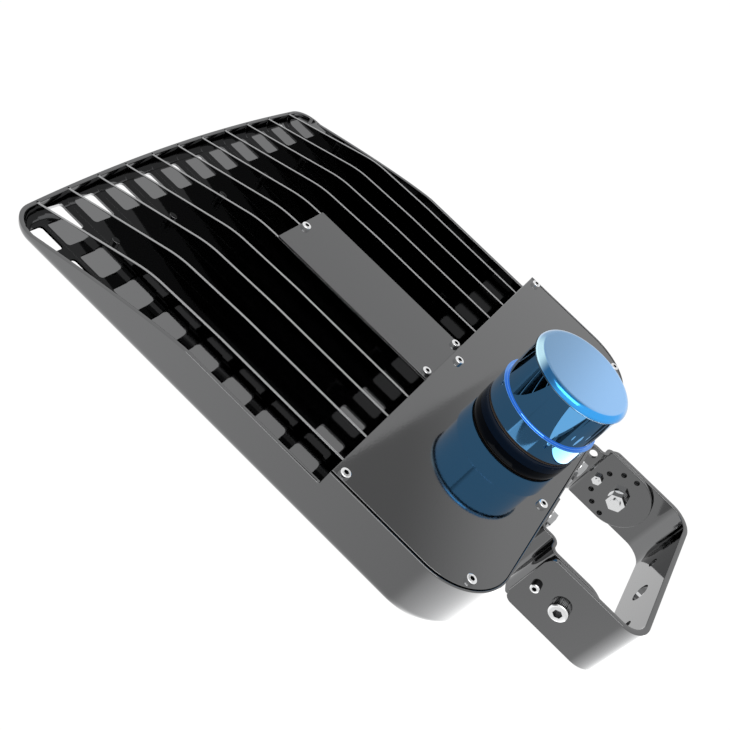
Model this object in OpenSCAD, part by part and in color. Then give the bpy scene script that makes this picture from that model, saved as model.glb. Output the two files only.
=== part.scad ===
// Parking lot light: finned die-cast head on a tilting yoke, with a twist-lock photocell.
// X runs across the head, Y from the yoke base to the front rim, Z up.
// The origin is the centre bore of the yoke base, on its outer face.

/* [Yoke] */
// Width across the outside of the yoke
yoke_w = 154; // [110:1:180]
// Height of the yoke sheet
yoke_h = 51; // [40:1:60]
// Thickness of the yoke sheet
yoke_t = 4; // [3:0.5:6]
// Distance from the base's outer face to the ends of the arms
yoke_depth = 79; // [75:1:100]
// Inner radius of the two yoke bends
yoke_bend_r = 10; // [6:1:16]
// Corner radius at the free ends of the arms
yoke_corner_r = 7; // [2:1:12]
// Distance from the base's outer face to the tilt axis
pivot_y = 49.5; // [44:0.5:52]
// Diameter of the centre bore in the base
base_bore_d = 15; // [10:0.5:24]
// Diameter of the two side holes in the base
base_hole_d = 8; // [5:0.5:12]
// Distance between the two side holes
base_hole_span = 78; // [50:1:90]

/* [Tilt joint] */
// Thread diameter of the pivot bolts
pivot_d = 8; // [6:1:10]
// Radius of the arc of index holes round the tilt axis
index_r = 21; // [17:0.5:23]
// Number of index holes in each ear
index_count = 7; // [5:1:7]
// Angle between two index holes
index_step = 30; // [20:5:30]
// Thread diameter of the index bolts
index_d = 4; // [3:0.5:5]

/* [Ears] */
// Thickness of the ear sheet
ear_t = 3; // [2:0.5:4]
// Gap between an ear and its yoke arm
ear_gap = 0.5; // [0.3:0.1:1]
// Sideways step in each ear
ear_jog = 11; // [6:0.5:14]
// Inner radius of the ear bends
ear_bend_r = 3; // [2:0.5:4]
// Reach of the ear flange along the rear wall
ear_flange_w = 38; // [30:1:45]
// Thread diameter of the ear bolts
ear_bolt_d = 6; // [4:1:8]

/* [Head] */
// Width of the head
head_w = 351; // [300:1:400]
// Length of the finned field, from the driver compartment to the front rim
field_l = 253.5; // [220:0.5:300]
// Length of the driver compartment
compartment_l = 117.5; // [105:0.5:140]
// Height of the casting at the driver compartment
casting_h = 44; // [42:0.5:48]
// Height of the tilt axis above the casting's underside
axis_h = 11.5; // [9:0.5:14]
// Thickness of the casting's outer wall
wall_t = 3; // [2.5:0.5:4]
// Thickness of the compartment wall under the gasket
seat_t = 7; // [6.5:0.5:9]
// Thickness of the casting's floor
floor_t = 3; // [2.5:0.5:4]
// Radius of the rounded lower edge
lower_r = 10; // [8:0.5:12]
// Radius of the front corners
front_r = 20; // [15:1:30]
// Radius of the rear corners
rear_r = 46; // [35:1:50]
// Depth of the bow in the front rim
front_bow = 8.5; // [4:0.5:12]
// Height of the side wall beside the fins
side_wall_h = 32; // [28:0.5:35]
// Height of the front rim
front_rim_h = 10; // [8:0.5:13]

/* [Fins] */
// Number of fins
fin_count = 11; // [11:2:11]
// Distance from the head's side to the nearest fin
side_bay = 25.5; // [22:0.5:28]
// Thickness of a fin
fin_t = 2.2; // [1.6:0.1:3]
// Height of the fins above the casting's underside
fin_h = 36; // [33:0.5:39]
// Length of the level part of the fin tops
fin_level_l = 102; // [80:1:120]
// Distance from the compartment to the bend in the fin tops
fin_bend_l = 160; // [140:1:180]
// Fall of the fin tops before the bend
fin_bend_drop = 2; // [1:0.5:4]
// Radius of the bend in the fin tops
fin_bend_r = 80; // [40:5:120]

/* [Vents] */
// Gap between a fin and the vents beside it
vent_side = 1.9; // [1:0.1:4]
// Length of a vent between two fins
vent_l = 21; // [14:0.5:24]
// Corner radius of the vents
vent_r = 1.5; // [1:0.25:4]
// Width of a side vent
side_vent_w = 15.5; // [12:0.5:16]
// Length of a side vent
side_vent_l = 20; // [14:0.5:22]
// Number of side vents in each row
side_vent_count = 8; // [6:1:8]

/* [Wireway] */
// Length of the wireway cover
wireway_l = 141.5; // [120:0.5:150]
// Thickness of the wireway cover
wireway_t = 1.5; // [1:0.25:2.5]
// Thread diameter of the cover screws
cover_screw_d = 4; // [3:0.5:5]

/* [Driver cover] */
// Thickness of the driver cover
cover_t = 3; // [2:0.5:4]
// Thickness of the lip round the cover
lip_t = 1.3; // [1:0.1:1.6]
// Gap between the lip and the cover
lip_gap = 1.5; // [0.5:0.1:1.8]
// Thickness of the cover gasket
gasket_t = 1; // [0.5:0.25:2]
// Width of the cover gasket
gasket_w = 3.5; // [2:0.5:3.5]

/* [Light engine] */
// Distance from the head's side to the lens frame
engine_side = 29.5; // [25:0.5:40]
// Length of the lens frame
engine_l = 176; // [150:1:180]
// Width of the lens frame's rails
engine_rail_w = 12; // [10:0.5:16]
// Height of the lens frame below the casting
engine_h = 7; // [6.5:0.5:9]
// Thickness of the circuit board
board_t = 1.6; // [1:0.2:2.4]
// Diameter of one lens dome
dome_d = 15; // [10:0.5:18]

/* [Photocell] */
// Diameter of the photocell's skirt
skirt_d = 84; // [78:0.5:90]
// Diameter of the photocell's cap
cap_d = 77; // [70:0.5:80]
// Height of the photocell above its gasket
photocell_h = 52.5; // [40:0.5:60]
// Height of the photocell's skirt
skirt_h = 17.5; // [12:0.5:20]
// Wall thickness of the photocell's cap
cap_t = 2.2; // [1.5:0.1:3]
// Thickness of the photocell's gasket
photocell_gasket_t = 2.5; // [2:0.25:4]
// Angle that locks the photocell
twist_angle = 35; // [20:1:40]

/* [Receptacle] */
// Diameter of the receptacle's flange
receptacle_d = 87; // [80:0.5:92]
// Height of the receptacle's flange
receptacle_flange_h = 6; // [5:0.5:7]
// Diameter of the receptacle's neck
receptacle_neck_d = 78; // [70:0.5:80]
// Height of the receptacle above the cover
receptacle_h = 8; // [7.5:0.5:14]
// Diameter of the receptacle's body below the cover
receptacle_body_d = 56; // [48:0.5:60]
// Depth of the receptacle's body below the cover
receptacle_body_h = 18; // [16:0.5:24]

/* [Hidden] */
$fn = 64;

// Finishes
casting_grey = "#3a3d41";
sheet_grey = "#303337";
bright_steel = "#d8dadc";
seal_black = "#17181a";
board_white = "#e8e9e4";
lens_clear = "#cfdde2";
dome_blue = "#4d9bdc";

// Overrun of every cut past the face that it opens
cut = 1;
// Gaps on the diameter: a shaft that turns in its bore, and a bolt in its clearance hole
running_gap = 0.1;
bolt_gap = 0.4;
// Gap between faces of pieces that turn on each other
turn_gap = 0.1;

// Levels of the head, measured from the tilt axis
under_z = -axis_h;
floor_z = under_z + floor_t;
fin_top_z = under_z + fin_h;
side_wall_z = under_z + side_wall_h;
front_rim_z = under_z + front_rim_h;
rim_z = under_z + casting_h;
cover_z = rim_z - cover_t;
seat_z = cover_z - gasket_t;

// Lines across the head: rear wall, back of the finned field and front rim
rear_gap = 17.5;
rear_y = yoke_depth + rear_gap;
field_y = rear_y + compartment_l;
front_y = field_y + field_l;
half_w = head_w / 2;
fin_pitch = (head_w - 2 * side_bay) / (fin_count - 1);
engine_w = head_w - 2 * engine_side;

// Front bow: its radius and centre, the corner centre, and the angle where the arcs meet
bow_r = (half_w * half_w + front_bow * front_bow) / (2 * front_bow);
bow_c = front_y - bow_r;
front_cx = half_w - front_r;
front_cy = bow_c + sqrt(pow(bow_r - front_r, 2) - front_cx * front_cx);
bow_angle = asin(front_cx / (bow_r - front_r));
rear_cx = half_w - rear_r;
rear_cy = rear_y + rear_r;

// Facets along each arc of the outline and of the lower edge
bow_steps = 14;
front_steps = 8;
rear_steps = 14;
edge_steps = 4;

function arc(c, r, a0, a1, n) =
  [for (i = [0:n]) c + r * [cos(a0 + (a1 - a0) * i / n), sin(a0 + (a1 - a0) * i / n)]];

function unit(v) = v / norm(v);

// Round the corner b of a polyline a, b, c with n facets
function corner_arc(a, b, c, r, n) =
  let (u = unit(a - b), v = unit(c - b), half = acos(u * v) / 2, m = b + unit(u + v) * r / sin(half),
       p = b + u * r / tan(half) - m, side = sign(cross(b - a, c - b)), start = atan2(p.y, p.x))
  arc(m, r, start, start + side * (180 - 2 * half), n);

// Plan of the head, drawn inwards by inset
bow_step = 2 * bow_angle / bow_steps;
function head_outline(inset = 0) = concat(
  arc([front_cx, front_cy], front_r - inset, 0, 90 - bow_angle, front_steps),
  arc([0, bow_c], bow_r - inset, 90 - bow_angle + bow_step, 90 + bow_angle - bow_step, bow_steps - 2),
  arc([-front_cx, front_cy], front_r - inset, 90 + bow_angle, 180, front_steps),
  arc([-rear_cx, rear_cy], rear_r - inset, 180, 270, rear_steps),
  arc([rear_cx, rear_cy], rear_r - inset, 270, 360, rear_steps));

function rim_y(x) = bow_c + sqrt(bow_r * bow_r - x * x);

// Solid on the head's plan with a rounded lower edge: rings of the outline, one above the other
module head_solid(inset, low, high, edge_r) {
  levels = concat(
    [for (i = [0:edge_steps]) let (a = 90 * i / edge_steps)
      [inset + edge_r * (1 - sin(a)), low + edge_r * (1 - cos(a))]],
    [[inset, high]]);
  rings = [for (l = levels) [for (p = head_outline(l[0])) [p.x, p.y, l[1]]]];
  n = len(rings[0]);
  last = len(levels) - 1;
  polyhedron(
    points = [for (r = rings) each r],
    faces = concat(
      [[for (i = [0:n - 1]) i]],
      [for (k = [0:last - 1], i = [0:n - 1]) let (j = (i + 1) % n)
        [k * n + i, (k + 1) * n + i, (k + 1) * n + j, k * n + j]],
      [[for (i = [n - 1:-1:0]) last * n + i]]));
}

// Plan of the driver compartment, drawn inwards by inset and ending at front_line
module compartment_plan(inset, front_line) {
  intersection() {
    polygon(head_outline(inset));
    translate([-half_w, rear_y]) square([head_w, front_line - rear_y]);
  }
}

// Outline in Y and Z, drawn out across the head
module across(w) {
  rotate([90, 0, 90]) translate([0, 0, -w / 2]) linear_extrude(w) children();
}

module rounded_rect(w, l, r) {
  square([w - 2 * r, l], center = true);
  square([w, l - 2 * r], center = true);
  for (x = [-1, 1], y = [-1, 1]) translate([x * (w / 2 - r), y * (l / 2 - r)]) circle(r);
}

module both_sides() {
  children();
  mirror([1, 0, 0]) children();
}

module at(points) {
  for (p = points) translate(p) children();
}

// Strip of sheet of height h: each step is a straight run and the bend after it, bend_r inside
module bent_strip(steps, t, bend_r, h, i = 0) {
  if (i < len(steps)) {
    run = steps[i][0];
    turn = steps[i][1];
    side = turn < 0 ? -1 : 1;
    mid_r = bend_r + t / 2;
    translate([0, -t / 2, -h / 2]) cube([run, t, h]);
    translate([run, side * mid_r, 0]) {
      if (turn != 0)
        rotate([0, 0, side > 0 ? -90 : 90 + turn]) rotate_extrude(angle = abs(turn))
          translate([bend_r, -h / 2]) square([t, h]);
      rotate([0, 0, turn]) translate([0, -side * mid_r, 0]) bent_strip(steps, t, bend_r, h, i + 1);
    }
  }
}

// Socket-head screw: round head above z = 0 with a soft edge and a hex socket, shank below
module socket_screw(d, head_d, head_h, shank_l, socket_af) {
  edge_r = head_h * head_edge_share;
  difference() {
    union() {
      rotate_extrude() polygon(concat([[0, 0], [head_d / 2, 0]],
        arc([head_d / 2 - edge_r, head_h - edge_r], edge_r, 0, 90, head_edge_steps), [[0, head_h]]));
      translate([0, 0, -shank_l]) cylinder(d = d, h = shank_l + head_h / 2);
    }
    translate([0, 0, head_h * (1 - socket_share)]) hex_prism(socket_af, head_h);
  }
}
head_edge_share = 0.3;
head_edge_steps = 4;
socket_share = 0.65;

module hex_prism(af, h) {
  cylinder(d = af / cos(30), h = h, $fn = 6);
}

module ring(outer_d, inner_d, h) {
  difference() {
    cylinder(d = outer_d, h = h);
    translate([0, 0, -cut]) cylinder(d = inner_d, h = h + 2 * cut);
  }
}

// Sector of a ring from angle a0 to a1
module ring_sector(r0, r1, a0, a1, h) {
  rotate([0, 0, a0]) rotate_extrude(angle = a1 - a0) translate([r0, 0]) square([r1 - r0, h]);
}

// Tilt joint: the pivot line and the index hole lie in the plane of the arms
arm_x = yoke_w / 2;
arm_in_x = arm_x - yoke_t;
ear_x = arm_in_x - ear_gap;
ear_in_x = ear_x - ear_t;
pivot_head_d = 14;
pivot_head_h = 5.5;
pivot_socket = 6;
pivot_washer_t = 1.6;
pivot_washer_d = 15;
pivot_nut_af = 13;
pivot_nut_h = 6.5;
pivot_tail = 2;
index_head_d = 7;
index_head_h = 4;
index_socket = 3;
index_nut_af = 7;
index_nut_h = 3.2;
index_tail = 1;

// Turn a piece that points along Z so that it points out of the right arm at x
module on_arm(x, y = pivot_y) {
  translate([x, y, 0]) rotate([0, 90, 0]) children();
}

module arm_corner_cut() {
  corner_y = yoke_depth - yoke_corner_r;
  corner_z = yoke_h / 2 - yoke_corner_r;
  across(yoke_w + 2 * cut) for (s = [-1, 1]) translate([corner_y, s * corner_z])
    difference() {
      translate([0, s > 0 ? 0 : -yoke_corner_r - cut]) square(yoke_corner_r + cut);
      circle(yoke_corner_r);
    }
}

module yoke() {
  bend_mid_r = yoke_bend_r + yoke_t / 2;
  arm_run = yoke_depth - yoke_t / 2 - bend_mid_r;
  base_run = yoke_w - yoke_t - 2 * bend_mid_r;
  color(sheet_grey) difference() {
    translate([yoke_t / 2 - arm_x, yoke_depth, 0]) rotate([0, 0, -90])
      bent_strip([[arm_run, 90], [base_run, 90], [arm_run, 0]], yoke_t, yoke_bend_r, yoke_h);
    arm_corner_cut();
    on_arm(-arm_x - cut) cylinder(d = pivot_d + running_gap, h = yoke_w + 2 * cut);
    on_arm(-arm_x - cut, pivot_y + index_r) cylinder(d = index_d + bolt_gap, h = yoke_w + 2 * cut);
    for (x = [-1, 0, 1]) translate([x * base_hole_span / 2, -cut, 0]) rotate([-90, 0, 0])
      cylinder(d = x == 0 ? base_bore_d : base_hole_d, h = yoke_t + 2 * cut);
  }
}

module pivot_bolts() {
  pivot_shank = arm_x - ear_in_x + turn_gap + pivot_washer_t + pivot_nut_h + pivot_tail;
  color(bright_steel) both_sides() on_arm(arm_x)
    socket_screw(pivot_d, pivot_head_d, pivot_head_h, pivot_shank, pivot_socket);
}

module pivot_washers() {
  color(bright_steel) both_sides() on_arm(ear_in_x - turn_gap - pivot_washer_t)
    ring(pivot_washer_d, pivot_d + running_gap, pivot_washer_t);
}

module pivot_nuts() {
  color(bright_steel) both_sides() on_arm(ear_in_x - turn_gap - pivot_washer_t - pivot_nut_h) difference() {
    hex_prism(pivot_nut_af, pivot_nut_h);
    translate([0, 0, -cut]) cylinder(d = pivot_d + running_gap, h = pivot_nut_h + 2 * cut);
  }
}

// The index bolt stops at the arm and its tail starts past the ear, so the ear can turn
module index_bolts() {
  color(bright_steel) both_sides() on_arm(arm_x, pivot_y + index_r)
    socket_screw(index_d, index_head_d, index_head_h, yoke_t, index_socket);
}

module index_nuts() {
  color(bright_steel) both_sides() on_arm(ear_in_x - turn_gap - index_nut_h, pivot_y + index_r) {
    hex_prism(index_nut_af, index_nut_h);
    translate([0, 0, -index_tail]) cylinder(d = index_d, h = index_nut_h);
  }
}

// Ears: a plate beside each arm, stepped inboard, with a flange on the rear wall
ear_end_r = yoke_h / 2;
ear_jog_gap = 2.5;
ear_slope_l = 9;
ear_toe_rise = 1;
ear_hole_d = 7;
ear_hole_drop = 6;
ear_jog_y = yoke_depth + ear_jog_gap;
ear_mid_r = ear_bend_r + ear_t / 2;
ear_bolt_x = 36;
ear_bolt_z = 9;
ear_bolt_pitch = 15;
ear_bolt_af = 10;
ear_bolt_head_h = 4;
ear_washer_d = 12;
ear_washer_t = 1.6;

module ear() {
  jog_run = ear_jog - 2 * ear_mid_r;
  wall_run = rear_y - ear_jog_y - ear_t / 2 - 2 * ear_mid_r;
  flange_run = ear_flange_w - ear_mid_r - ear_t / 2;
  toe_z = under_z + ear_toe_rise;
  hole_y = (ear_jog_y + rear_y) / 2;
  color(casting_grey) difference() {
    union() {
      on_arm(ear_in_x) cylinder(r = ear_end_r, h = ear_t);
      translate([ear_in_x + ear_t / 2, pivot_y, 0]) rotate([0, 0, 90])
        bent_strip([[ear_jog_y - pivot_y - ear_mid_r, 90], [jog_run, -90], [wall_run, 90], [flange_run, 0]],
                   ear_t, ear_bend_r, yoke_h);
    }
    across(yoke_w) polygon([
      [ear_jog_y + ear_mid_r - ear_slope_l, -yoke_h], [ear_jog_y + ear_t / 2, -yoke_h / 2],
      [ear_jog_y + ear_slope_l, toe_z], [rear_y + cut, toe_z], [rear_y + cut, -yoke_h]]);
    on_arm(ear_in_x - cut) cylinder(d = pivot_d + running_gap, h = ear_t + 2 * cut);
    for (i = [0:index_count - 1]) {
      angle = (i - (index_count - 1) / 2) * index_step;
      on_arm(ear_in_x - cut) translate([index_r * sin(angle), index_r * cos(angle)])
        cylinder(d = index_d + bolt_gap, h = ear_t + 2 * cut);
    }
    translate([ear_in_x - ear_jog - cut, hole_y, yoke_h / 2 - ear_hole_drop]) rotate([0, 90, 0])
      cylinder(d = ear_hole_d, h = ear_t + 2 * cut);
    at_ear_bolts() cylinder(d = ear_bolt_d + bolt_gap, h = ear_t + cut);
  }
}

// Bolt places on the flange of one ear, pointing out of the rear wall from its face
module at_ear_bolts() {
  for (s = [-1, 1]) translate([ear_bolt_x, rear_y, ear_bolt_z + s * ear_bolt_pitch / 2]) rotate([90, 0, 0])
    translate([0, 0, -cut]) children();
}

module left_ear() mirror([1, 0, 0]) ear();

module right_ear() ear();

module ear_bolts() {
  shank = ear_t + ear_washer_t + seat_t;
  color(bright_steel) both_sides() at_ear_bolts() translate([0, 0, cut + ear_t + ear_washer_t]) {
    hex_prism(ear_bolt_af, ear_bolt_head_h);
    translate([0, 0, -shank]) cylinder(d = ear_bolt_d, h = shank + ear_bolt_head_h / 2);
  }
}

module ear_washers() {
  color(bright_steel) both_sides() at_ear_bolts() translate([0, 0, cut + ear_t])
    ring(ear_washer_d, ear_bolt_d + running_gap, ear_washer_t);
}

// Side wall beside the fins: level, then falling to the front rim in a soft curve
side_level_l = 107;
side_fall_l = 118;
side_curve = 1.25;
side_steps = 10;
side_line = [for (i = [0:side_steps]) let (s = i / side_steps)
  [field_y + side_level_l + side_fall_l * s, side_wall_z - (side_wall_z - front_rim_z) * pow(s, side_curve)]];

// Fins
fin_bend_steps = 6;
fin_toe_share = 0.6;

function fin_line(x) =
  let (a = [field_y + fin_level_l, fin_top_z], b = [field_y + fin_bend_l, fin_top_z - fin_bend_drop],
       c = [rim_y(x) - wall_t, front_rim_z])
  concat([a], corner_arc(a, b, c, fin_bend_r, fin_bend_steps), [c]);

// Fin at x with its foot in the floor: open leaves out its rear end, low sinks its top there
module fin(x, open = 0, low = 0) {
  foot_z = floor_z - floor_t / 2;
  back_y = field_y - seat_t / 2;
  end_y = rim_y(x) - wall_t / 2;
  translate([x, 0, 0]) across(fin_t) difference() {
    polygon(concat([[back_y, foot_z], [back_y, fin_top_z]], fin_line(x),
      [[end_y, front_rim_z], [end_y, under_z + lower_r * fin_toe_share], [rim_y(x) - lower_r, foot_z]]));
    if (open > 0) translate([field_y - seat_t, under_z]) square([seat_t + open, casting_h]);
    if (low > 0) translate([field_y - seat_t, fin_top_z - wireway_t]) square([seat_t + low, wireway_t + cut]);
  }
}

// Places of the vents in the floor
rear_vent_gap = 6.5;
front_vent_gap = 10.5;
side_vent_back = 9;
side_vent_front = 19.5;
vent_w = fin_pitch - fin_t - 2 * vent_side;
side_vent_x = half_w - wall_t - side_vent_w / 2;
rear_vent_y = field_y + rear_vent_gap + vent_l / 2;
front_vent_y = front_y - front_vent_gap - vent_l / 2;
side_vent_pitch = (field_l - side_vent_back - side_vent_front - side_vent_l) / (side_vent_count - 1);
bays = fin_count - 1;

module vent(x, y, w, l) {
  translate([x, y, under_z - cut]) linear_extrude(lower_r + cut) rounded_rect(w, l, vent_r);
}

module vents() {
  for (i = [0:bays - 1]) {
    x = (i - (bays - 1) / 2) * fin_pitch;
    vent(x, front_vent_y, vent_w, vent_l);
    if (abs(x) > fin_pitch) vent(x, rear_vent_y, vent_w, vent_l);
  }
  for (i = [0:side_vent_count - 1], s = [-1, 1])
    vent(s * side_vent_x, field_y + side_vent_back + side_vent_l / 2 + i * side_vent_pitch,
         side_vent_w, side_vent_l);
}

// Wireway between the two fins beside the middle one
plate_half_w = fin_pitch + fin_t / 2;
plate_screw_side = 4.5;
plate_screw_edge = 4;
plate_screw_x = fin_pitch - plate_screw_side;
plate_screws = [[0, field_y + wireway_l - plate_screw_edge],
                [-plate_screw_x, field_y + plate_screw_edge], [plate_screw_x, field_y + plate_screw_edge]];
plate_boss_d = 9;
plate_screw_l = 9;
wire_hole_d = 12;
wire_hole_h = 16;
wire_hole_z = under_z + wire_hole_h;
wire_screw_gap = 13;
wire_hole_x = plate_screw_x - wire_screw_gap;

// Places of the cover screws, on bosses along the compartment wall
cover_screw_inset = 7.5;
cover_screw_front = 6.5;
cover_screw_x = 54;
cover_boss_d = 8.5;
boss_foot = 0.3;
cover_screw_l = 16;
corner_screw = [rear_cx, rear_cy] + (rear_r - cover_screw_inset) * unit([1, -1]);
side_cover_screws = [[half_w - cover_screw_inset, field_y - cover_screw_front], corner_screw,
                     [cover_screw_x, rear_y + cover_screw_inset]];
front_cover_screw = [0, field_y - cover_screw_front];

module at_cover_screws() {
  translate(front_cover_screw) children();
  both_sides() at(side_cover_screws) children();
}

// Lens frame, gasket and lens panel share these screws under the fins
engine_back = 33;
engine_y = field_y + engine_back + engine_l / 2;
engine_screw_x = 2 * fin_pitch;
engine_screw_inset = 7.5;
engine_screw_d = 4;
engine_boss_d = 7;
engine_boss_h = 5;
engine_screw_grip = 6;
lead_hole_d = 12;
lead_hole_back = 27;
lead_hole_y = field_y + engine_back + lead_hole_back;

module at_engine_screws() {
  for (i = [-2:2], s = [-1, 1])
    translate([i * engine_screw_x, engine_y + s * (engine_l / 2 - engine_screw_inset)]) children();
}

// Driver mounts: the driver fills the left of the compartment, up to the receptacle
driver_side = 17.5;
driver_cell_gap = 14;
driver_back = 29.5;
driver_front = 22;
driver_w = half_w - driver_side - receptacle_body_d / 2 - driver_cell_gap;
driver_l = compartment_l - driver_back - driver_front;
driver_h = 30;
driver_x = driver_side + driver_w / 2 - half_w;
driver_y = field_y - driver_front - driver_l / 2;
driver_foot = 8;
driver_foot_t = 2;
driver_boss_d = 9;
driver_boss_h = 3;
driver_screw_d = 4;

module at_driver_screws() {
  for (s = [-1, 1]) translate([driver_x + s * (driver_w / 2 + driver_foot / 2), driver_y]) children();
}

gland_d = 20;
gland_z = 9;

// Boss on the floor, up to the level top
module boss(d, top) {
  translate([0, 0, floor_z - boss_foot]) cylinder(d = d, h = top - floor_z + boss_foot);
}

module housing() {
  color(casting_grey) difference() {
    union() {
      difference() {
        head_solid(0, under_z, rim_z, lower_r);
        across(head_w + 2 * cut) polygon(concat(
          [[field_y, rim_z + cut], [field_y, side_wall_z]], side_line,
          [[front_y + cut, front_rim_z], [front_y + cut, rim_z + cut]]));
        intersection() {
          head_solid(wall_t, floor_z, rim_z + cut, lower_r - wall_t);
          translate([-half_w, field_y, under_z]) cube([head_w, field_l, casting_h + cut]);
        }
        translate([0, 0, floor_z]) linear_extrude(casting_h) compartment_plan(seat_t, field_y - seat_t);
        translate([0, 0, seat_z]) linear_extrude(casting_h) compartment_plan(lip_t, field_y + cut);
      }
      for (i = [0:fin_count - 1]) {
        x = (i - (fin_count - 1) / 2) * fin_pitch;
        fin(x, open = x == 0 ? wireway_l : 0, low = abs(x) == fin_pitch ? wireway_l : 0);
      }
      at(plate_screws) boss(plate_boss_d, fin_top_z - wireway_t);
      at_cover_screws() boss(cover_boss_d, seat_z);
      at_engine_screws() boss(engine_boss_d, floor_z + engine_boss_h);
      at_driver_screws() boss(driver_boss_d, floor_z + driver_boss_h);
    }
    vents();
    at(plate_screws) translate([0, 0, fin_top_z - plate_screw_l])
      cylinder(d = cover_screw_d + running_gap, h = plate_screw_l + cut);
    at_cover_screws() translate([0, 0, rim_z - cover_screw_l - cut])
      cylinder(d = cover_screw_d + running_gap, h = cover_screw_l + cut);
    at_engine_screws() translate([0, 0, under_z - cut])
      cylinder(d = engine_screw_d + running_gap, h = engine_screw_grip + cut);
    at_driver_screws() translate([0, 0, under_z + floor_t / 2])
      cylinder(d = driver_screw_d + running_gap, h = floor_t / 2 + driver_boss_h + cut);
    both_sides() at_ear_bolts() translate([0, 0, -seat_t])
      cylinder(d = ear_bolt_d + running_gap, h = seat_t + 2 * cut);
    translate([0, rear_y - cut, gland_z]) rotate([-90, 0, 0]) cylinder(d = gland_d, h = seat_t + 2 * cut);
    translate([wire_hole_x, field_y + cut, wire_hole_z]) rotate([90, 0, 0])
      cylinder(d = wire_hole_d, h = seat_t + 2 * cut);
    translate([0, lead_hole_y, under_z - cut]) cylinder(d = lead_hole_d, h = floor_t + 2 * cut);
  }
}

gland_flange_d = 26;
gland_flange_t = 2;
cable_d = 10;

// Rubber bushing in the rear wall, where the supply cable goes in
module cable_grommet() {
  color(seal_black) translate([0, rear_y, gland_z]) rotate([90, 0, 0]) difference() {
    union() {
      cylinder(d = gland_flange_d, h = gland_flange_t);
      translate([0, 0, -seat_t]) cylinder(d = gland_d - running_gap, h = seat_t + gland_flange_t / 2);
      translate([0, 0, -seat_t - gland_flange_t]) cylinder(d = gland_flange_d, h = gland_flange_t);
    }
    translate([0, 0, -seat_t - gland_flange_t - cut])
      cylinder(d = cable_d, h = seat_t + 2 * gland_flange_t + 2 * cut);
  }
}

wire_bore_d = 7;
wire_flange_t = 1.5;
wire_flange_d = 14;

// Rubber bushing between the compartment and the wireway
module wireway_grommet() {
  color(seal_black) translate([wire_hole_x, field_y, wire_hole_z]) rotate([90, 0, 0]) difference() {
    union() {
      translate([0, 0, -wire_flange_t]) cylinder(d = wire_flange_d, h = wire_flange_t);
      translate([0, 0, -wire_flange_t / 2])
        cylinder(d = wire_hole_d - running_gap, h = seat_t + wire_flange_t);
      translate([0, 0, seat_t]) cylinder(d = wire_flange_d, h = wire_flange_t);
    }
    translate([0, 0, -wire_flange_t - cut])
      cylinder(d = wire_bore_d, h = seat_t + 2 * wire_flange_t + 2 * cut);
  }
}

module wireway_cover() {
  color(casting_grey) difference() {
    translate([-plate_half_w, field_y, fin_top_z - wireway_t]) cube([2 * plate_half_w, wireway_l, wireway_t]);
    at(plate_screws) translate([0, 0, fin_top_z - wireway_t - cut])
      cylinder(d = cover_screw_d + bolt_gap, h = wireway_t + 2 * cut);
  }
}

cover_head_d = 7;
cover_head_h = 2.4;
cover_socket = 3;

module wireway_cover_screws() {
  color(bright_steel) at(plate_screws) translate([0, 0, fin_top_z])
    socket_screw(cover_screw_d, cover_head_d, cover_head_h, plate_screw_l - cut, cover_socket);
}

// Receptacle: turns in the bore of the driver cover, and its ring turns inside a rib
photocell_back = 46;
photocell_y = rear_y + photocell_back;
cover_bore_d = receptacle_body_d + running_gap;
ring_w = 7;
ring_h = 4;
ring_d = receptacle_body_d + 2 * ring_w;
cover_rib_h = 2;
cover_rib_t = 2.5;
cover_rib_gap = 0.5;
cover_rib_d = ring_d + 2 * cover_rib_gap + 2 * cover_rib_t;

module driver_cover() {
  cover_inset = lip_t + lip_gap;
  color(casting_grey) difference() {
    union() {
      translate([0, 0, cover_z]) linear_extrude(cover_t) compartment_plan(cover_inset, field_y);
      translate([0, photocell_y, cover_z - cover_rib_h])
        ring(cover_rib_d, cover_rib_d - 2 * cover_rib_t, cover_rib_h + cover_t / 2);
    }
    translate([0, photocell_y, cover_z - cut]) cylinder(d = cover_bore_d, h = cover_t + 2 * cut);
    at_cover_screws() translate([0, 0, cover_z - cut])
      cylinder(d = cover_screw_d + bolt_gap, h = cover_t + 2 * cut);
  }
}

gasket_edge = 0.4;

module driver_cover_gasket() {
  inner = seat_t - gasket_edge;
  outer = inner - gasket_w;
  color(seal_black) difference() {
    translate([0, 0, seat_z]) linear_extrude(gasket_t) difference() {
      compartment_plan(outer, field_y - outer);
      compartment_plan(inner, field_y - inner);
    }
    at_cover_screws() translate([0, 0, seat_z - cut])
      cylinder(d = cover_screw_d + 2 * bolt_gap, h = gasket_t + 2 * cut);
  }
}

module driver_cover_screws() {
  color(bright_steel) at_cover_screws() translate([0, 0, rim_z])
    socket_screw(cover_screw_d, cover_head_d, cover_head_h, cover_screw_l - cut, cover_socket);
}

driver_edge_r = 3;
driver_foot_l = 20;

// LED driver: potted aluminium case with a mounting foot at each end
module led_driver() {
  base_z = floor_z + driver_boss_h;
  color(bright_steel) difference() {
    union() {
      translate([driver_x, driver_y, base_z]) linear_extrude(driver_h - driver_boss_h)
        rounded_rect(driver_w, driver_l, driver_edge_r);
      translate([driver_x - driver_w / 2 - driver_foot, driver_y - driver_foot_l / 2, base_z])
        cube([driver_w + 2 * driver_foot, driver_foot_l, driver_foot_t]);
    }
    at_driver_screws() translate([0, 0, base_z - cut])
      cylinder(d = driver_screw_d + bolt_gap, h = driver_foot_t + 2 * cut);
  }
}

module led_driver_screws() {
  shank = driver_foot_t + driver_boss_h;
  color(bright_steel) at_driver_screws() translate([0, 0, floor_z + driver_boss_h + driver_foot_t])
    socket_screw(driver_screw_d, cover_head_d, cover_head_h, shank, cover_socket);
}

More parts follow.
